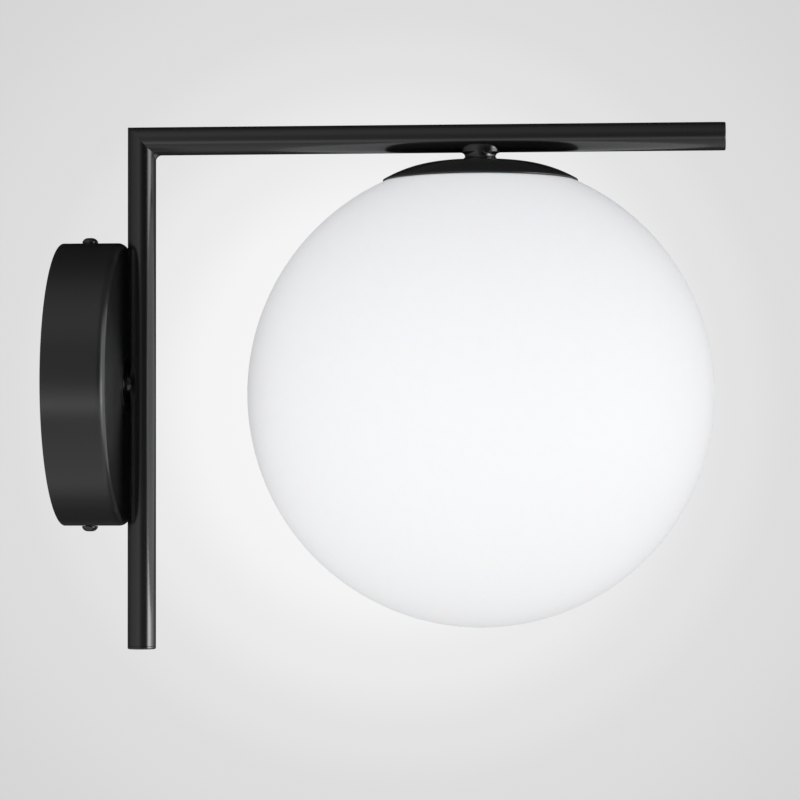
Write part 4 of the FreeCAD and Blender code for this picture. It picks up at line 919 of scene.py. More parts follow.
@dataclass
class Canopy(Assembly):
    """The spun cup on the wall with its side screws, and the collar between it and the riser."""

    wall: float = 1.0
    rim_fillet: float = 3.0
    hole: float = 4.1
    lip_fillet: float = 0.3
    screw_depth: float = 11.0
    screw_hole: float = 2.25
    screw_pitch: float = 0.7
    screw_tip: Rows = ((0.0, 55.1), (1.6, 55.1), (2.0, 55.5))
    screw_neck: Rows = ((2.0, 60.4), (2.0, 61.1), (3.2, 61.1), (3.4, 61.3))
    screw_dome: Rows = ((3.4, 61.76), (2.45, 62.95), (0.0, 63.3))
    slot_width: float = 0.9
    slot_depth: float = 0.8
    slot_reach: float = 4.0
    collar_radius: float = 12.0
    collar_edge: float = 0.15
    collar_hollow: tuple[float, float] = (7.14, 0.425)
    collar_throat: tuple[float, float] = (5.2, 1.1)
    collar_crown: tuple[float, float] = (4.7, 2.7)

    def build(self) -> None:
        """Build and dress the cup, the two side screws and the collar.

        The cup doesn't hold soft light off its surroundings, because opal glass carries light round
        inside itself and so evens out the cup's shade on the globe's near side.
        """
        cup = self.cup()
        cup.visible_diffuse = False
        self.wardrobe.dress(cup, Look.SPUN_BLACK_COAT, "canopy")
        for side, body in ((1, Body.TOP_SCREW), (-1, Body.BOTTOM_SCREW)):
            self.wardrobe.dress(self.side_screw(side, body.value), Look.BLACK_COAT, body.value, body=body)
        self.wardrobe.dress(self.collar(), Look.BLACK_COAT, "stem_collar")

    def cup(self) -> Piece:
        """The cup.

        Returns:
            An outline with a rounded rim turned about X, with the two side screws' holes.
        """
        radius, depth = PLAN.canopy_radius, PLAN.canopy_depth
        inner, inside = radius - self.wall, depth - self.wall
        profile = outline((radius, 0, self.lip_fillet), (radius, depth, self.rim_fillet),
                          (self.hole, depth, BROKEN_EDGE), (self.hole, inside),
                          (inner, inside, self.rim_fillet - self.wall), (inner, 0, self.lip_fillet), steps=10)
        cup = build("spun_canopy", [turned(profile, CANOPY_LINE, steps=256)])
        reach = radius + PAST
        cut(cup, [rod(self.screw_hole, -reach, reach, Spindle(Axis.UP, (self.screw_depth, 0, 0)))])
        return cup

    def side_screw(self, side: int, node: str) -> Piece:
        """A dome-headed screw with a driver slot.

        Args:
            side: 1 for the top one and -1 for the bottom one, which is turned over.
            node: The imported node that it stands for.

        Returns:
            The screw: its tip, its thread and its head.
        """
        line = Spindle(Axis.UP, (self.screw_depth, 0, 0))
        radius, low = self.screw_tip[-1]
        high, top = self.screw_neck[0][1], self.screw_dome[-1][1]
        head = np.concatenate([self.screw_neck, arc_through(*self.screw_dome)])
        thread = machine_thread(radius, low, high, self.screw_pitch, line, steps=48)
        grids = [turned(self.screw_tip, line, steps=48), thread, turned(head, line, steps=48)]
        ends = np.array([(self.screw_depth + reach, top) for reach in (-self.slot_reach, self.slot_reach)])
        flip = np.array([1, side, side])
        screw = build(f"{node}_dressed", [grid * flip for grid in grids])
        cut(screw, [swept_strip(ends, self.slot_width, 2 * self.slot_depth, 0.0) * flip])
        return screw

    def collar(self) -> Piece:
        """The flared collar.

        Returns:
            Its outline turned about X, its points held back to the riser's surface where they would
            enter it.
        """
        face = PLAN.canopy_depth
        foot, edge, hollow, throat, crown = lifted(
            face, (self.collar_radius, 0), (self.collar_radius, self.collar_edge), self.collar_hollow,
            self.collar_throat, self.collar_crown)
        profile = outline((self.hole, face), foot, edge, arc_through(edge, hollow, throat, steps=16)[1:],
                          crown, (self.hole, crown[1]))
        grid = turned(profile, CANOPY_LINE, steps=192)
        grid[..., 0] = np.minimum(grid[..., 0], PLAN.riser_x - PLAN.bulge(grid[..., 1]))
        return build("flared_collar", [grid])


@dataclass
class WallBox(Assembly):
    """What the canopy hides: the bracket, the terminal block, the nipple's fittings and the wires."""

    nipple: tuple[float, float] = (4.0, 3.05)
    nipple_ends: tuple[float, float] = (17.5, 30.41)

    def build(self) -> None:
        """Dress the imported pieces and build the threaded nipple."""
        copies = self.wardrobe.dress_copies
        copies(Look.ZINC_PLATE, "wall_bracket", "earth_washer", "earth_screw", "terminal_screws",
               "terminal_block_screw", "reinforcing_washer", "toothed_washer", "canopy_nut")
        copies(Look.TIN_PLATE, "bracket_earth_lug", "earth_tag")
        copies(Look.NATURAL_NYLON, "terminal_block", "nipple_bush")
        copies(Look.MACHINED_BRASS, "terminal_inserts")
        copies(Look.BROWN_PVC, "live_wire")
        copies(Look.BLUE_PVC, "neutral_wire")
        copies(Look.STRIPED_PVC, "bracket_earth_wire", "canopy_earth_wire")
        nipple = threaded_tube("threaded_canopy_nipple", *self.nipple, *self.nipple_ends, CANOPY_LINE)
        self.wardrobe.dress(nipple, Look.ZINC_PLATE, "canopy_nipple")


@dataclass
class Stem(Assembly):
    """The riser and the arm: two mitred tubes, the weld in their corner and a plug in each end."""

    nipple_hole: float = 4.03
    wire_hole: float = 3.8
    end_edge: float = 0.12
    end_support: float = 3.0
    plug_edge: float = 0.6
    plug_spigot: float = 8.0
    plug_gap: float = 0.03
    spigot_edge: float = 0.8
    weld_leg: float = 2.1
    weld_width: float = 5.2
    weld_pull: float = 0.47
    weld_rows: int = 49
    weld_columns: int = 11
    ripple_pitch: float = 0.9
    ripple: float = 0.05

    def build(self) -> None:
        """Build and dress the two tubes, the weld and the two plugs."""
        riser = Spindle(Axis.UP, (PLAN.riser_x, 0, PLAN.riser_end))
        arm = Spindle(Axis.OUT, (PLAN.arm_end, 0, PLAN.arm_z))
        nipple = rod(self.nipple_hole, PLAN.canopy_depth, PLAN.riser_x, CANOPY_LINE)
        wires = rod(self.wire_hole, PLAN.arm_underside - PAST, PLAN.arm_z, GLOBE_LINE)
        for piece, node in ((self.tube("mitred_riser", riser, -1, nipple), "vertical_tube"),
                            (self.tube("mitred_arm", arm, 1, wires), "horizontal_tube"),
                            (self.weld(), "corner_weld"),
                            (self.plug("pressed_riser_plug", riser, -1), "riser_end_plug"),
                            (self.plug("pressed_arm_plug", arm, 1), "arm_end_plug")):
            self.wardrobe.dress(piece, Look.BLACK_COAT, node)

    def tube(self, name: str, line: Spindle, side: int, hole: Grid) -> Piece:
        """A tube with a plain end and a mitred one.

        At the mitre a point lies as far before the corner along the tube as it lies past it across.

        Args:
            name: The piece's name.
            line: The tube's line, with its point at the plug's outer face.
            side: The way outwards along the line, 1 or -1.
            hole: The closed grid of the hole in its side.

        Returns:
            The tube.
        """
        outer, bore, edge = PLAN.tube_radius, PLAN.tube_radius - PLAN.tube_wall, self.end_edge
        start, mitre = PLAN.plug_flange, slice(4, 6)
        rows = np.array([(bore, start), (outer - edge, start), (outer, start + edge),
                         (outer, start + self.end_support), (outer, 0), (bore, 0), (bore, start)])
        grid = turned(rows * (1, -side), line)
        along, across = (2, 0) if line.axis is Axis.UP else (0, 2)
        corner = (PLAN.riser_x, 0, PLAN.arm_z)
        grid[:, mitre, along] = corner[along] - (grid[:, mitre, across] - corner[across])
        tube = build(name, [grid])
        cut(tube, [hole])
        return tube

    def weld(self) -> Piece:
        """The bead in the inside corner.

        Across Y its leg is the full leg times the root of one less the square of the share of the
        half width, with a light ripple. Its face is a quadratic curve pulled into the corner, and
        its back follows the two tubes.

        Returns:
            The bead.
        """
        share = np.sin(np.linspace(-math.pi / 2, math.pi / 2, self.weld_rows))
        y = share * self.weld_width / 2
        ripple = 1 + self.ripple * np.cos(TURN * y / self.ripple_pitch)
        leg = (self.weld_leg * np.sqrt(np.maximum(1 - share ** 2, 0)) * ripple)[:, None]
        pull = self.weld_pull / self.weld_leg * leg
        bulge = PLAN.bulge(y)
        corner = np.stack([PLAN.riser_x + bulge, y, PLAN.arm_z - bulge], axis=1)[:, None]
        t = np.linspace(0, 1, self.weld_columns)
        x = 2 * t * (1 - t) * pull + t ** 2 * leg
        z = -2 * t * (1 - t) * pull - (1 - t) ** 2 * leg
        face = corner + np.stack([x, np.zeros_like(x), z], axis=2)
        return build("corner_bead", [np.concatenate([corner, face, corner], axis=1)])

    def plug(self, name: str, line: Spindle, side: int) -> Piece:
        """A tube plug with a rounded flange and a plain spigot.

        Args:
            name: The piece's name.
            line: The tube's line, with its point at the plug's outer face.
            side: The way outwards along the line, 1 or -1.

        Returns:
            The plug.
        """
        outer, spigot = PLAN.tube_radius, PLAN.tube_radius - PLAN.tube_wall - self.plug_gap
        flange, depth = -PLAN.plug_flange, -PLAN.plug_flange - self.plug_spigot
        profile = outline((0, 0), (outer, 0, self.plug_edge), (outer, flange, self.end_edge),
                          (spigot, flange), (spigot, depth, self.spigot_edge), (0, depth), steps=6)
        return build(name, [turned(profile * (1, side), line)])


@dataclass
class CapGroup(Assembly):
    """The neck under the arm, and the glass cap with its gasket, clip spring and nuts."""

    foot_radius: float = 10.0
    foot_edge: float = 0.2
    hollow: tuple[float, float] = (7.7, 0.9)
    throat: tuple[float, float] = (6.55, 2.0)
    waist_points: int = 28
    crown_start: float = 1.7
    crown_middle: tuple[float, float] = (6.2, 3.0)
    crown: tuple[float, float] = (5.0, 3.5)
    braze: float = 1.95
    bore: float = 3.8
    nipple_way: float = 5.03
    shelf_rise: float = 3.05
    cap_radius: float = 42.0
    dome_drop: float = 8.0
    dome_power: float = 2.3
    dome_points: int = 33
    cap_wall: float = 0.8
    rim_share: float = 0.475
    seat_radius: float = 10.1
    cap_hole: float = 5.15
    gasket: tuple[float, float] = (35.0, 39.6)
    gasket_bottom: float = 86.75
    gasket_gap: float = 0.05
    gasket_edge: float = 0.25
    gasket_stride: int = 4
    spring_thickness: float = 0.6
    spring_ring: float = 9.9
    leg_width: float = 12.0
    leg_bend: float = 1.6
    leg_points: Rows = ((9.0, 93.95), (31.0, 89.5), (33.47, 86.59), (35.8, 84.39), (31.5, 77.99))
    leg_count: int = 3
    nipple: tuple[float, float] = (5.0, 3.6)
    nipple_ends: tuple[float, float] = (84.0, 98.0)

    def build(self) -> None:
        """Build and dress the neck, the cap, the gasket, the spring and the nipple."""
        dress = self.wardrobe.dress
        dress(self.neck(), Look.BLACK_COAT, "neck")
        # The cap's finish carries a painted sheen in its greyer base colour.
        dress(self.cap(), Look.CAP_COAT, "glass_cap")
        dress(self.seal(), Look.SILICONE, "globe_gasket")
        dress(self.spring(), Look.BARE_SPRING_STEEL, "globe_spring")
        nipple = threaded_tube("threaded_holder_nipple", *self.nipple, *self.nipple_ends, GLOBE_LINE)
        dress(nipple, Look.ZINC_PLATE, "holder_nipple")
        self.wardrobe.dress_copies(Look.ZINC_PLATE, "cap_lock_washer", "cap_nut")

    def dome(self, near: float, far: float, under: float = 0.0) -> Grid:
        """The dome's curve between two distances from the axis.

        Below the seat it has fallen by the whole drop times a power of the distance beyond the seat
        over the same at the rim. A curve under it is moved in along the outer curve's normals.

        Args:
            near: The first distance from the axis.
            far: The last distance from the axis.
            under: How far inside the outer surface the curve lies.

        Returns:
            One row of radius and height for each point.
        """
        radius = np.linspace(near, far, self.dome_points)
        share = (radius - self.seat_radius) / (self.cap_radius - self.seat_radius)
        height = PLAN.cap_seat - self.dome_drop * share ** self.dome_power
        slope = np.gradient(height, radius)
        normal = np.stack([-slope, np.ones_like(slope)], axis=1) / np.hypot(slope, 1)[:, None]
        return np.stack([radius, height], axis=1) - under * normal

    def neck(self) -> Piece:
        """The turned neck with its brazed joint.

        Under the arm the braze is a hollow fillet: a quarter circle that adds the fillet less the
        root of its square less the square of how far the point has climbed into it. It is full
        along the arm and fades across it with the square of the cosine of the turn. Points are
        held down to the arm's underside where they would enter it.

        Returns:
            The neck.
        """
        foot, head = PLAN.cap_seat, PLAN.arm_underside
        edge, hollow, throat = lifted(foot, (self.foot_radius, self.foot_edge), self.hollow, self.throat)
        start, middle, crown = lifted(head, (throat[0], self.crown_start), self.crown_middle, self.crown)
        shelf = foot + self.shelf_rise
        straight = np.linspace(throat, start, self.waist_points)[1:-1]
        profile = outline((self.nipple_way, foot), (self.foot_radius, foot), edge,
                          arc_through(edge, hollow, throat, steps=16)[1:], straight,
                          arc_through(start, middle, crown, steps=16), (self.bore, crown[1]),
                          (self.bore, shelf), (self.nipple_way, shelf))
        grid = turned(profile, GLOBE_LINE, steps=256)
        axis = np.array(GLOBE_LINE.origin)
        reach = grid - axis
        radius = np.hypot(reach[..., 0], reach[..., 1])
        climb = np.clip(grid[..., 2] - head + self.braze, 0, self.braze)
        fillet = self.braze - np.sqrt(self.braze ** 2 - climb ** 2)
        outside = np.clip((radius - self.bore) / (crown[0] - self.bore), 0, 1)
        swell = 1 + fillet * outside * (reach[..., 0] / radius) ** 2 / radius
        grid[..., :2] = axis[:2] + reach[..., :2] * swell[..., None]
        grid[..., 2] = np.minimum(grid[..., 2], PLAN.arm_z - PLAN.bulge(grid[..., 1]))
        return build("turned_neck", [grid])

    def cap(self) -> Piece:
        """The spun cap.

        Returns:
            A dome and the same moved in by the wall, joined by a rounded rim, with a seat and a hole.
        """
        top, rim = PLAN.cap_seat, self.cap_wall * self.rim_share
        outer = self.dome(self.seat_radius, self.cap_radius)
        inner = self.dome(self.seat_radius, self.cap_radius, self.cap_wall)[::-1]
        profile = outline((self.cap_hole, top - self.cap_wall), (self.cap_hole, top, BROKEN_EDGE), outer[:-1],
                          (*outer[-1], rim), (*inner[0], rim), inner[1:])
        return build("spun_glass_cap", [turned(profile, GLOBE_LINE, steps=256)])

    def seal(self) -> Piece:
        """The silicone ring under the cap.

        Returns:
            The ring, its top following the dome.
        """
        low, edge = self.gasket_bottom, self.gasket_edge
        top = self.dome(*self.gasket, self.cap_wall + self.gasket_gap)[::-self.gasket_stride]
        profile = outline((self.gasket[0], low, edge), (self.gasket[1], low, edge), top)
        return build("silicone_gasket", [turned(profile, GLOBE_LINE, steps=160)])

    def spring(self) -> Piece:
        """The clip spring.

        Returns:
            A ring under the cap and three bent legs, one turned into place for each share of a turn.
        """
        top = PLAN.cap_seat - self.cap_wall
        low = top - self.spring_thickness
        hole, rim = self.cap_hole, self.spring_ring
        corners = ((hole, low), (rim, low), (rim, top), (hole, top))
        ring = outline(*((*corner, BROKEN_EDGE) for corner in corners))
        path = open_path(self.leg_points, self.leg_bend)
        leg = swept_strip(path, self.leg_width, self.spring_thickness, BROKEN_EDGE)
        turns = (Matrix.Rotation(TURN * index / self.leg_count, 3, "Z") for index in range(self.leg_count))
        legs = [leg @ np.array(turn).T + np.array(GLOBE_LINE.origin) for turn in turns]
        return build("clip_spring", [turned(ring, GLOBE_LINE, steps=96), *legs])


@dataclass
class Globe(Assembly):
    """The blown opal globe: a spherical shell with a ground mouth."""

    radius: float = 100.0
    wall: float = 2.5
    centre: float = -4.61
    mouth: float = 86.59
    mouth_edges: tuple[float, float] = (0.5, 0.5)

    def build(self) -> None:
        """Build the globe and dress it."""
        profile = open_bowl(self.radius, self.wall, self.centre, self.mouth, self.mouth_edges, steps=110)
        globe = build("opal_globe", [turned(profile, GLOBE_LINE, steps=224)])
        self.wardrobe.dress(globe, Look.OPAL_GLASS, "globe", body=Body.GLOBE)


@dataclass
class Lampholder(Assembly):
    """The screw lampholder on its nipple: two covers, the ceramic core, the clamps and the shell."""

    radius: float = 19.5
    cover_boss: Rows = ((5.03, 89.3), (7.7, 89.3), (8.0, 89.0), (8.0, 86.4), (8.3, 86.1))
    cover_shoulder: tuple[float, float] = (17.0, 82.0)
    cover_band: tuple[float, float] = (69.5, 81.5)
    cover_inside: Rows = ((19.5, 68.2), (19.3, 68.0), (17.7, 68.0), (17.7, 80.2), (15.9, 82.0),
                          (5.03, 82.0))
    skirt_top: Rows = ((17.6, 68.0), (19.3, 68.0), (19.5, 67.8))
    skirt_band: tuple[float, float] = (41.5, 66.5)
    skirt_inside: Rows = ((19.5, 40.0), (18.6, 36.7), (18.2, 36.3), (14.9, 36.3), (14.6, 36.6), (14.6, 62.0),
                          (16.2, 62.0), (16.2, 76.0), (17.6, 76.0))
    grub_hole: float = 1.25
    grub_place: tuple[float, float] = (8.0, 87.7)
    flutes: int = 44
    flute_depth: float = 0.45
    flute_run: float = 0.8
    flute_spans: int = 6
    shell_walls: tuple[float, float] = (13.45, 13.8)
    shell_foot: Rows = ((13.45, 39.0), (13.45, 38.0), (13.8, 38.0), (13.8, 39.0))
    shell_roof: Rows = ((13.8, 61.0), (13.8, 62.0), (10.2, 62.0), (10.2, 61.65), (13.45, 61.65),
                        (13.45, 61.0))
    ridge: float = 0.7
    ridge_ends: tuple[float, float] = (46.2, 58.5)
    ridge_fade: float = 1.8
    rivet_hole: float = 0.95
    rivet_place: tuple[float, float] = (11.6, 62.0)

    def build(self) -> None:
        """Build and dress the covers and the shell, and dress the rest."""
        dress, copies = self.wardrobe.dress, self.wardrobe.dress_copies
        dress(self.cover(), Look.BLACK_RESIN, "holder_cap")
        skirt = self.fluted("holder_lower_cover", self.skirt_top, self.skirt_band, self.skirt_inside)
        dress(skirt, Look.BLACK_RESIN, "holder_skirt")
        dress(self.screw_shell(), Look.MACHINED_BRASS, "holder_shell")
        copies(Look.GLAZED_CERAMIC, "holder_core")
        copies(Look.MACHINED_BRASS, "holder_clamps", "holder_tongue", "holder_rivets")
        copies(Look.ZINC_PLATE, "holder_clamp_screws", "holder_grub_screw")

    def fluted(self, name: str, before: Grid | Rows, band: Point, after: Rows) -> Piece:
        """A turned cover whose outline runs down through a fluted band.

        Args:
            name: The piece's name.
            before: The outline before the band.
            band: The heights of the band's lower and upper end.
            after: The outline after the band.

        Returns:
            The cover.
        """
        low, high = band
        heights = (high, high - self.flute_run, low + self.flute_run, low)
        rows = [(self.radius, height) for height in heights]
        points = np.concatenate([before, rows, after, before[:1]])
        depth = np.zeros(len(points))
        depth[len(before) + 1:len(before) + 3] = self.flute_depth
        return build(name, [turned(points, GLOBE_LINE, self.flutes * self.flute_spans, self.flutes, depth)])

    def cover(self) -> Piece:
        """The upper cover.

        Returns:
            The cover with its boss, its rounded shoulder and the grub screw's hole.
        """
        shoulder = arc(self.cover_shoulder, self.radius - self.cover_shoulder[0], 90, 0, steps=10)
        before = np.concatenate([self.cover_boss, shoulder])
        cover = self.fluted("holder_upper_cover", before, self.cover_band, self.cover_inside)
        reach, height = self.grub_place
        level = Spindle(Axis.OUT, (PLAN.globe_x, 0, height))
        cut(cover, [rod(self.grub_hole, 0, reach + PAST, level, steps=24)])
        return cover

    def screw_shell(self) -> Piece:
        """The pressed shell with the lamp thread.

        Both walls move inwards by the ridge times half of one less the cosine of the phase, fading
        to nothing at the thread's two ends.

        Returns:
            The shell, with the neutral rivet's hole.
        """
        def wall(radius: float) -> Rule:
            """The rule of one wall's radius."""
            return lambda level, phase: radius - self.ridge * (1 - np.cos(TURN * phase)) / 2 * faded(
                level, *self.ridge_ends, self.ridge_fade)

        low, high = self.shell_foot[0][1], self.shell_roof[0][1]
        walls = [threaded(wall(radius), low, high, PLAN.lamp_pitch, GLOBE_LINE, steps=96, spans=LAMP_SPANS)
                 for radius in self.shell_walls]
        plain = [turned(rows, GLOBE_LINE, steps=96) for rows in (self.shell_foot, self.shell_roof)]
        shell = build("threaded_shell", walls + plain)
        rivet = Spindle(Axis.UP, (PLAN.globe_x, *self.rivet_place))
        cut(shell, [rod(self.rivet_hole, -PAST, PAST, rivet, steps=24)])
        return shell


@dataclass
class Bulb(Assembly):
    """The screw-in bulb: contact, insulator, threaded cap, housing, dome and what they hold."""

    contact: Rows = ((0.0, 60.0), (4.5, 60.0), (4.5, 60.5, 0.2), (4.0, 61.0, 0.4), (0.0, 61.0))
    insulator: Rows = ((0.0, 57.5), (11.5, 57.5), (5.5, 60.0, 0.5), (0.0, 60.0))
    crest: float = 13.1
    thread_depth: float = 0.75
    thread_ends: tuple[float, float] = (44.0, 56.0)
    plain_from: float = 46.2
    fade: float = 1.8
    inner_gap: float = 0.5
    cap_crown: Rows = ((0.0, 57.5), (11.6, 57.5), (11.9, 57.3), (12.35, 56.9), (12.35, 56.0))
    cap_roof: Rows = ((11.85, 56.0), (0.0, 56.0))
    cap_foot: Rows = ((13.1, 44.0), (13.1, 35.0), (12.6, 35.0), (12.6, 44.0))
    neck: Rows = ((11.35, 44.0), (12.55, 44.0, 0.3), (12.55, 35.0))
    flare_outside: Rows = ((14.0, 35.0), (20.015, 15.5), (28.03, -4.0))
    flare_inside: Rows = ((26.83, -4.0), (18.815, 15.5), (11.35, 35.0))
    flare_edges: tuple[float, float, float] = (0.5, 0.35, 0.2)
    dome_radius: float = 30.0
    dome_wall: float = 1.2
    dome_centre: float = -14.7
    dome_mouth: float = -4.0
    dome_edges: tuple[float, float] = (0.3, 0.2)

    def build(self) -> None:
        """Build and dress every piece of the bulb."""
        dress, copies = self.wardrobe.dress, self.wardrobe.dress_copies
        contact = self.turn("round_bulb_contact", outline(*self.contact))
        dress(contact, Look.TIN_PLATE, "bulb_contact", body=Body.BULB_LIFT)
        insulator = self.turn("glass_insulator", outline(*self.insulator))
        dress(insulator, Look.FUSED_BLACK_GLASS, "bulb_insulator", body=Body.BULB)
        dress(self.screw_cap(), Look.DRAWN_ALUMINIUM, "bulb_screw_cap", body=Body.BULB)
        housing = self.turn("flared_bulb_housing", self.housing())
        dress(housing, Look.WHITE_RESIN, "bulb_housing", body=Body.BULB)
        bowl = open_bowl(self.dome_radius, self.dome_wall, self.dome_centre, self.dome_mouth,
                         self.dome_edges, steps=40)
        dress(self.turn("milky_bulb_dome", bowl), Look.MILKY_DOME, "bulb_diffuser", body=Body.BULB)
        copies(Look.DRAWN_ALUMINIUM, "heat_plate", body=Body.BULB)
        copies(Look.WHITE_MASK, "led_board", "led_driver", body=Body.BULB)
        copies(Look.YELLOW_PHOSPHOR, "led_chips", body=Body.BULB)

    def turn(self, name: str, profile: Grid) -> Piece:
        """A piece turned about the globe's axis."""
        return build(name, [turned(profile, GLOBE_LINE, steps=112)])

    def screw_cap(self) -> Piece:
        """The rolled metal cap.

        The radius is the thread's root plus the depth times the larger of two shares: half of one
        plus the cosine of the phase, which fades at the top, and the plain band, which fades
        upwards from the cap's lower part.

        Returns:
            The cap: its two walls and the plain parts above and below the thread.
        """
        low, high = self.thread_ends

        def wall(gap: float) -> Rule:
            """The rule of a wall's radius, a gap inside the outer one."""
            return lambda level, phase: self.crest - gap - self.thread_depth * (1 - np.maximum(
                (1 + np.cos(TURN * phase)) / 2 * np.clip((high - level) / self.fade, 0, 1),
                np.clip((self.plain_from - level) / self.fade, 0, 1)))

        walls = [threaded(wall(gap), low, high, PLAN.lamp_pitch, GLOBE_LINE, steps=112, spans=LAMP_SPANS)
                 for gap in (0.0, self.inner_gap)]
        plain = [turned(rows, GLOBE_LINE, steps=112)
                 for rows in (self.cap_crown, self.cap_roof, self.cap_foot)]
        return build("rolled_bulb_cap", walls + plain)

    def housing(self) -> Grid:
        """The flared body's outline.

        Returns:
            Two parallel arcs from the neck down to the dome's joint, closed over the neck.
        """
        outside, inside = (arc_through(*rows, steps=28) for rows in (self.flare_outside, self.flare_inside))
        top, lip, inner = self.flare_edges
        return outline(*self.neck, (*outside[0], top), outside[1:-1], (*outside[-1], lip),
                       (*inside[0], inner), inside[1:])


@dataclass
class Camera:
    """The camera at the photograph's viewing angle."""

    lens: float = 148.5
    azimuth: float = 4.223
    elevation: float = -1.5
    roll: float = -0.093
    distance: float = 1417.6
    aim: tuple[float, float, float] = (145.4, 0.0, -7.15)
    clip: tuple[float, float] = (50.0, 50000.0)

    @property
    def back(self) -> Vector:
        """The direction from the aim to the camera."""
        turn, rise = math.radians(self.azimuth), math.radians(self.elevation)
        return Vector((math.sin(turn) * math.cos(rise), -math.cos(turn) * math.cos(rise), math.sin(rise)))

    def place(self) -> None:
        """Put the camera in the scene, turned to its aim and rolled about its view."""
        data = bpy.data.cameras.new("camera")
        data.lens = self.lens
        data.clip_start, data.clip_end = (reach * MM for reach in self.clip)
        camera = placed("camera", data)
        right = Vector((0, 0, 1)).cross(self.back).normalized()
        up = self.back.cross(right)
        tilt = math.radians(self.roll)
        side = math.cos(tilt) * right + math.sin(tilt) * up
        top = math.cos(tilt) * up - math.sin(tilt) * right
        place = Matrix((side, top, self.back)).transposed().to_4x4()
        place.translation = (Vector(self.aim) + self.distance * self.back) * MM
        camera.matrix_world = place
        bpy.context.scene.camera = camera


@dataclass(frozen=True)
class SoftLamp:
    """A soft rectangular lamp."""

    name: str
    place: tuple[float, float, float]
    size: tuple[float, float]
    watts: float
    aim: tuple[float, float, float] = (150.0, 0.0, 0.0)

    def hang(self) -> None:
        """Put the lamp in the scene, turned to its aim and unseen in reflections."""
        data = bpy.data.lights.new(self.name, "AREA")
        data.shape = "RECTANGLE"
        data.size, data.size_y = (side * MM for side in self.size)
        data.energy = self.watts
        lamp = placed(self.name, data)
        lamp.location = Vector(self.place) * MM
        lamp.rotation_mode = "QUATERNION"
        lamp.rotation_quaternion = (Vector(self.aim) - Vector(self.place)).to_track_quat("-Z", "Y")
        lamp.visible_glossy = False


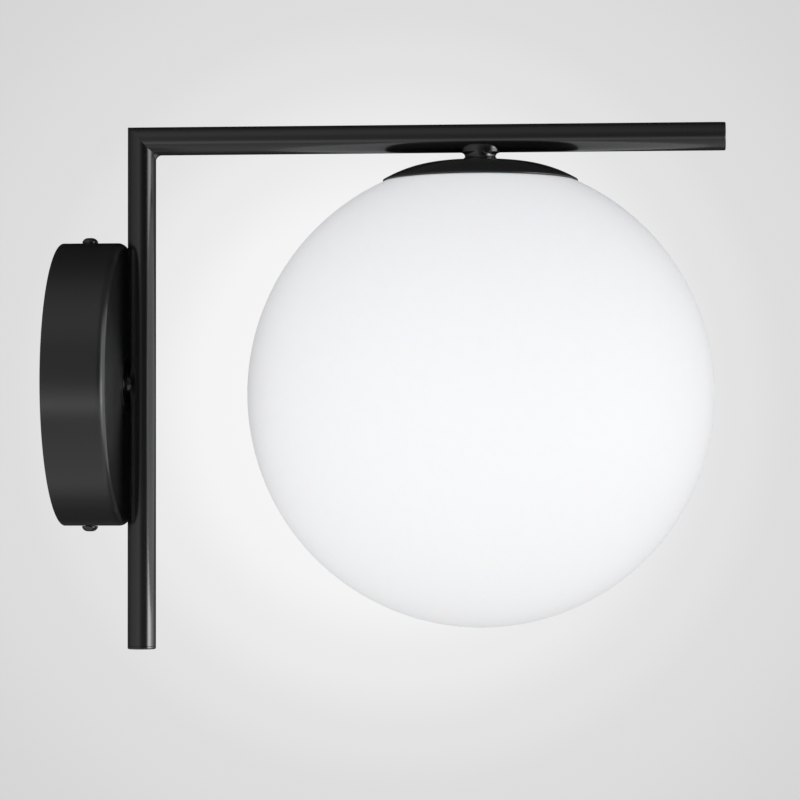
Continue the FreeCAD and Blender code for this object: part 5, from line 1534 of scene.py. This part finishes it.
@dataclass
class Studio:
    """The surroundings: a pale backdrop, the studio that metal reflects, soft lamps and a floor.

    A ramp is rows of place and level. The backdrop's places are shares of its reach from the view's
    middle. The compass runs from 0 behind the object, by the wall's side at 0.25, the camera at 0.5
    and the arm's end at 0.75, to 1 behind it again. Heights run from 0 straight down to 1 straight
    up, and depths from 0 towards the camera to 1 away from it. The room is heights times depths, and
    a pale screen and a bright window are each a compass ramp times one of heights.
    """

    camera: Camera
    backdrop_reach: float = 0.18
    backdrop: Ramp = ((0.0, 0.955), (0.32, 0.905), (0.45, 0.83), (0.57, 0.765), (0.67, 0.725), (0.94, 0.672),
                      (1.0, 0.665))
    heights: Ramp = ((0.0, 0.4), (0.08, 0.38), (0.18, 0.33), (0.25, 0.29), (0.3, 0.4), (0.335, 0.48),
                     (0.36, 0.43), (0.375, 0.38), (0.41, 0.22), (0.445, 0.14), (0.485, 0.06), (0.5, 0.03),
                     (0.53, 0.01), (0.58, 0.02), (0.71, 0.06), (0.83, 0.12), (0.93, 0.13), (1.0, 0.1))
    depths: Ramp = ((0.0, 1.0), (0.5, 1.0), (0.56, 0.75), (0.69, 0.36), (0.8, 0.2), (0.9, 0.14), (1.0, 0.08))
    screen: Ramp = ((0.0, 0.0), (0.2, 0.08), (0.261, 0.15), (0.322, 0.22), (0.375, 0.26), (0.42, 0.3),
                    (0.465, 0.31), (0.475, 0.25), (0.485, 0.15), (0.5, 0.09), (0.52, 0.05), (0.55, 0.01),
                    (0.9, 0.01), (0.95, 0.0))
    screen_heights: Ramp = ((0.25, 0.0), (0.3, 0.2), (0.35, 0.8), (0.41, 1.0), (0.53, 1.0), (0.58, 0.9),
                            (0.71, 0.7), (0.89, 0.65), (0.95, 0.5), (1.0, 0.3))
    window: Ramp = ((0.63, 0.0), (0.66, 0.4), (0.678, 1.1), (0.72, 1.1), (0.745, 0.6), (0.77, 0.35),
                    (0.83, 0.13), (0.9, 0.03), (0.94, 0.0))
    window_heights: Ramp = ((0.2, 0.1), (0.22, 0.2), (0.25, 0.7), (0.29, 1.1), (0.35, 1.6), (0.39, 2.9),
                            (0.427, 4.6), (0.467, 4.6), (0.507, 3.2), (0.547, 2.0), (0.587, 1.6),
                            (0.665, 1.3), (0.73, 1.0), (0.785, 0.6), (0.825, 0.2), (0.85, 0.0))
    lean: Colour = (-0.1, 0.0, -0.99)
    dim_side: Colour = (0.74, 0.74, 0.76)
    bright_side: Colour = (0.92, 0.92, 0.92)
    lamps: tuple[SoftLamp, ...] = (SoftLamp("key", (900, -1000, 0), (700, 900), 3.0),
                                   SoftLamp("fill", (-900, -500, -50), (900, 900), 2.0))
    floor_level: float = -300.0
    floor_radius: float = 850.0
    floor_thickness: float = 2.0
    floor_colour: Colour = (0.78, 0.78, 0.78)
    floor_roughness: float = 0.8

    def build(self) -> None:
        """Make the world, the lamps and the floor."""
        scene = bpy.context.scene
        scene.view_settings.view_transform = "Standard"
        world = bpy.data.worlds.new("studio")
        scene.world = world
        world.use_nodes = True
        world.cycles.sampling_method = "NONE"
        self.surround(Bench(world.node_tree))
        for lamp in self.lamps:
            lamp.hang()
        self.floor()

    def surround(self, bench: Bench) -> None:
        """The world: backdrop for the camera, studio for reflections and soft light for the rest.

        Args:
            bench: The world's bench.
        """
        direction = bench.add("TexCoord").outputs["Generated"]
        rays = bench.add("LightPath").outputs
        soft = bench.blend(self.share(bench, direction, self.lean), self.dim_side, self.bright_side)
        lit = bench.blend(rays["Is Glossy Ray"], soft, self.reflected(bench, direction))
        seen = bench.math("MAXIMUM", rays["Is Camera Ray"], rays["Is Transmission Ray"])
        colour = bench.blend(seen, lit, self.backdrop_colour(bench, direction))
        background = bench.feed(bench.add("Background"), Color=colour)
        bench.feed(bench.add("OutputWorld"), Surface=background.outputs["Background"])

    def share(self, bench: Bench, direction: Socket, axis: Point) -> Socket:
        """How far a direction points along an axis.

        Args:
            bench: The world's bench.
            direction: The direction.
            axis: The axis.

        Returns:
            0 against the axis and 1 along it.
        """
        dot = bench.add("VectorMath", operation="DOT_PRODUCT")
        bench.put(dot.inputs[0], direction)
        bench.put(dot.inputs[1], axis)
        return bench.math("MULTIPLY_ADD", dot.outputs["Value"], 0.5, 0.5)

    def backdrop_colour(self, bench: Bench, direction: Socket) -> Socket:
        """A pale grey that darkens with the angle from the view's middle.

        The angle is near twice the root of the share along the way back to the camera.

        Args:
            bench: The world's bench.
            direction: The direction.

        Returns:
            The grey's socket.
        """
        away = self.share(bench, direction, self.camera.back)
        angle = bench.math("SQRT", bench.math("MULTIPLY", bench.math("MAXIMUM", away, 0.0), 4.0))
        return bench.ramp(bench.math("DIVIDE", angle, self.backdrop_reach), self.backdrop)

    def reflected(self, bench: Bench, direction: Socket) -> Socket:
        """The room, the screen and the window that metal reflects.

        Args:
            bench: The world's bench.
            direction: The direction.

        Returns:
            Their level's socket.
        """
        parts = bench.feed(bench.add("SeparateXYZ"), Vector=direction).outputs
        height = self.share(bench, direction, (0, 0, 1))
        depth = self.share(bench, direction, (0, 1, 0))
        compass = bench.math("ARCTAN2", parts["X"], bench.math("MULTIPLY", parts["Y"], -1.0))
        place = bench.math("ADD", bench.math("DIVIDE", compass, TURN), 0.5)
        room, screen, window = (
            bench.math("MULTIPLY", bench.ramp(*first), bench.ramp(*second))
            for first, second in (((height, self.heights), (depth, self.depths)),
                                  ((place, self.screen), (height, self.screen_heights)),
                                  ((place, self.window), (height, self.window_heights))))
        return bench.math("ADD", room, bench.math("ADD", screen, window))

    def floor(self) -> None:
        """A plain pale disc under the object, out of the main view."""
        line = Spindle(Axis.UP, (PLAN.globe_x, 0, self.floor_level))
        disc = build("floor", [rod(self.floor_radius, -self.floor_thickness, 0, line, steps=96)])
        material = bpy.data.materials.new("pale_floor")
        material.use_nodes = True
        bench = Bench(material.node_tree)
        shader = bench.feed(bench.add("BsdfPrincipled"), Base_Color=self.floor_colour,
                            Roughness=self.floor_roughness)
        bench.feed(bench.add("OutputMaterial"), Surface=shader.outputs["BSDF"])
        disc.data.materials.append(material)
        disc.visible_glossy = False
        disc.visible_diffuse = False


def main() -> None:
    """Build every sub-assembly in order, then the camera and the studio."""
    logging.basicConfig(level=logging.INFO, format="%(name)s: %(message)s")
    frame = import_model()
    wardrobe = Wardrobe(frame["nodes"])
    for part in (Canopy, WallBox, Stem, CapGroup, Globe, Lampholder, Bulb):
        LOG.info("building %s", part.__name__)
        part(wardrobe).build()
    camera = Camera()
    camera.place()
    Studio(camera).build()


if __name__ == "__main__":
    main()
